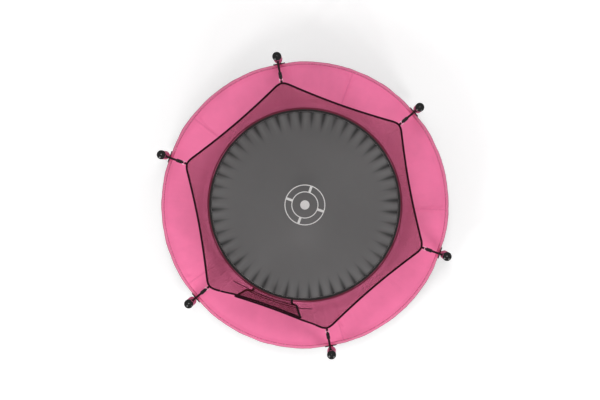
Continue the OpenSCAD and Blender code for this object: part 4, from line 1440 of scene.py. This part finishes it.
LINK_HALF = 9.6 * MM
LINK_WIRE_R = 1.5 * MM
LINK_WRAP_R = 3.2 * MM
LUG_WRAP_R = 3.9 * MM


def make_straps():
    """The strap comes down through the buckle, turns round the metal ring, and goes back through the buckle
    to the cap's lug. A loop of webbing ties the ring to the net's corner."""
    layer = STRAP_T / 2 + 0.2 * MM
    ring_turn = arc((LINK_EYE_S, 0.0), LINK_WRAP_R, -90, -270, 12)
    lug_turn = arc((STRAP_REACH, 0.0), LUG_WRAP_R, 120, -120, 14)
    outline = [(BUCKLE_S + BUCKLE_L + 14 * MM, -layer), (BUCKLE_S, -layer), *ring_turn, (BUCKLE_S, layer)]
    outline += [(BUCKLE_S + BUCKLE_L * 0.5, layer + 0.6 * MM), (BUCKLE_S + BUCKLE_L, layer), *lug_turn]
    outline += [(STRAP_REACH - 9 * MM, -layer), (STRAP_REACH - 28 * MM, -layer)]
    straps = at_poles("corner_straps", strap_part("strap", outline), STRAP)
    fitted(straps, "net_straps")

    loop_turn = arc((LOOP_EYE_S, 0.0), LINK_WRAP_R, 120, -120, 12)
    upper = [(5 * MM, 1.2 * MM), (12 * MM, 1.6 * MM), (20 * MM, 1.8 * MM)]
    outline = [*upper, *loop_turn, *((s, -h) for s, h in reversed(upper))]
    loops = at_poles("corner_loop_webbing", strap_part("loop", outline), STRAP)
    fitted(loops, "corner_loops")

    corners = oblong(LOOP_EYE_S, LINK_EYE_S, LINK_HALF)
    path = rounded([on_strap_line(p.x, 0) + Vector((0, p.y, 0)) for p in corners], 4 * MM, closed=True)
    link = swept("link", ZINC, path, round_section(LINK_WIRE_R, 8), closed=True, up=STRAP_ABOVE)
    links = at_poles("strap_rings", link, ZINC)
    fitted(links, "strap_links")


BUCKLE_BEVEL = 0.9 * MM
SLOT_STARTS = (0.16, 0.58)
SLOT_SHARE = 0.26


def make_buckles():
    """Sliding adjusting buckles: a rounded plate with two slots."""
    curve = bpy.data.curves.new("buckle", "CURVE")
    curve.dimensions = "2D"
    curve.fill_mode = "BOTH"
    shapes = [(0, BUCKLE_L, BUCKLE_W / 2 - 1 * MM, 5 * MM)]
    for start in SLOT_STARTS:
        shapes.append((start * BUCKLE_L, (start + SLOT_SHARE) * BUCKLE_L, STRAP_W / 2 + 0.4 * MM, 2 * MM))
    for low, high, half, corner in shapes:
        outline = rounded(oblong(low, high, half), corner, closed=True, steps=4)
        spline = curve.splines.new("POLY")
        spline.points.add(len(outline) - 1)
        spline.points.foreach_set("co", [c for p in outline for c in (p.x, p.y, 0.0, 1.0)])
        spline.use_cyclic_u = True
    curve.extrude = BUCKLE_T / 2 - BUCKLE_BEVEL
    curve.bevel_depth = BUCKLE_BEVEL
    curve.bevel_resolution = 2
    holder = placed("buckle", curve)
    mesh = evaluated_mesh(holder)
    bpy.data.objects.remove(holder)
    tilt = Matrix.Rotation(-STRAP_TILT, 4, "Y")
    mesh.transform(Matrix.Translation(on_strap_line(BUCKLE_S, 0.6 * MM)) @ tilt)
    buckle = from_mesh("buckle", cleaned(mesh, merge=0.01 * MM), PLASTIC, soft=False)
    buckles = at_poles("slide_buckles", buckle, PLASTIC)
    fitted(buckles, "strap_buckles")


# ---------------------------------------------------------------- foam sleeves on the poles


SLEEVE_COLUMNS = 40
SLEEVE_ROWS = 120

# the sleeve's two ends and its bore, as (distance from its axis, height)
SLEEVE_ENDS = (
    (FOAM_R - 4.5 * MM, FOAM_TOP_Z), (FOAM_BORE_R, FOAM_TOP_Z - 0.5 * MM),
    (FOAM_BORE_R, FOAM_TOP_Z - 80 * MM), (FOAM_BORE_R, FOAM_FOOT_Z + 80 * MM),
    (FOAM_BORE_R, FOAM_FOOT_Z + 0.5 * MM), (FOAM_R - 4.5 * MM, FOAM_FOOT_Z),
)


def make_sleeves():
    """Covered foam tubes, with a little unevenness, rounded ends and a sewn seam on their outer side."""
    for k in range(POLES):
        axis = polar(POLE_AXIS_R, k * SIDE)

        def at(s, t, k=k, axis=axis):
            row = round(t * (SLEEVE_ROWS + len(SLEEVE_ENDS)))
            angle = s * TAU
            if row <= SLEEVE_ROWS:
                share = row / SLEEVE_ROWS
                z = mix(FOAM_FOOT_Z + 1.5 * MM, FOAM_TOP_Z - 1.5 * MM, share)
                press = noise.noise(Vector((math.cos(angle) * 1.6 + k * 9, math.sin(angle) * 1.6, z * 7)))
                ends = smooth(min(share, 1 - share) * 60)
                r = FOAM_R - 1.6 * MM * (1 - ends) - 0.5 * MM + 0.7 * MM * press * ends
            else:
                r, z = SLEEVE_ENDS[row - SLEEVE_ROWS - 1]
            return axis + polar(r, angle, z)

        def uv(s, t):
            return (s * TAU * FOAM_R, t * (FOAM_TOP_Z - FOAM_FOOT_Z))

        rows = SLEEVE_ROWS + len(SLEEVE_ENDS) + 1
        sleeve = surface(f"foam_cover_{k + 1}", FOAM, SLEEVE_COLUMNS, rows, at, uv, ring=True, tube=True)
        fitted(sleeve, f"foam_sleeve_{k + 1}")
    low, high = FOAM_FOOT_Z + 8 * MM, FOAM_TOP_Z - 8 * MM
    line = [Vector((POLE_AXIS_R + FOAM_R - 0.4 * MM, 0, mix(low, high, i / 60))) for i in range(61)]
    seam = stitched("seam", [(line, False)], PINK_THREAD, pitch=7 * MM, length=5 * MM)
    seams = at_poles("foam_cover_stitches", seam, PINK_THREAD)
    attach(seams, "frame")


dress_hard_parts()
make_mat()
make_mat_edge()
make_rings()
make_springs()
pad = make_pad()
make_pad_sewing(pad)
make_skirt()
make_ties()
make_rim()
make_net()
make_flap("flap_inner", 1)
make_flap("flap_outer", -1)
make_straps()
make_buckles()
make_sleeves()
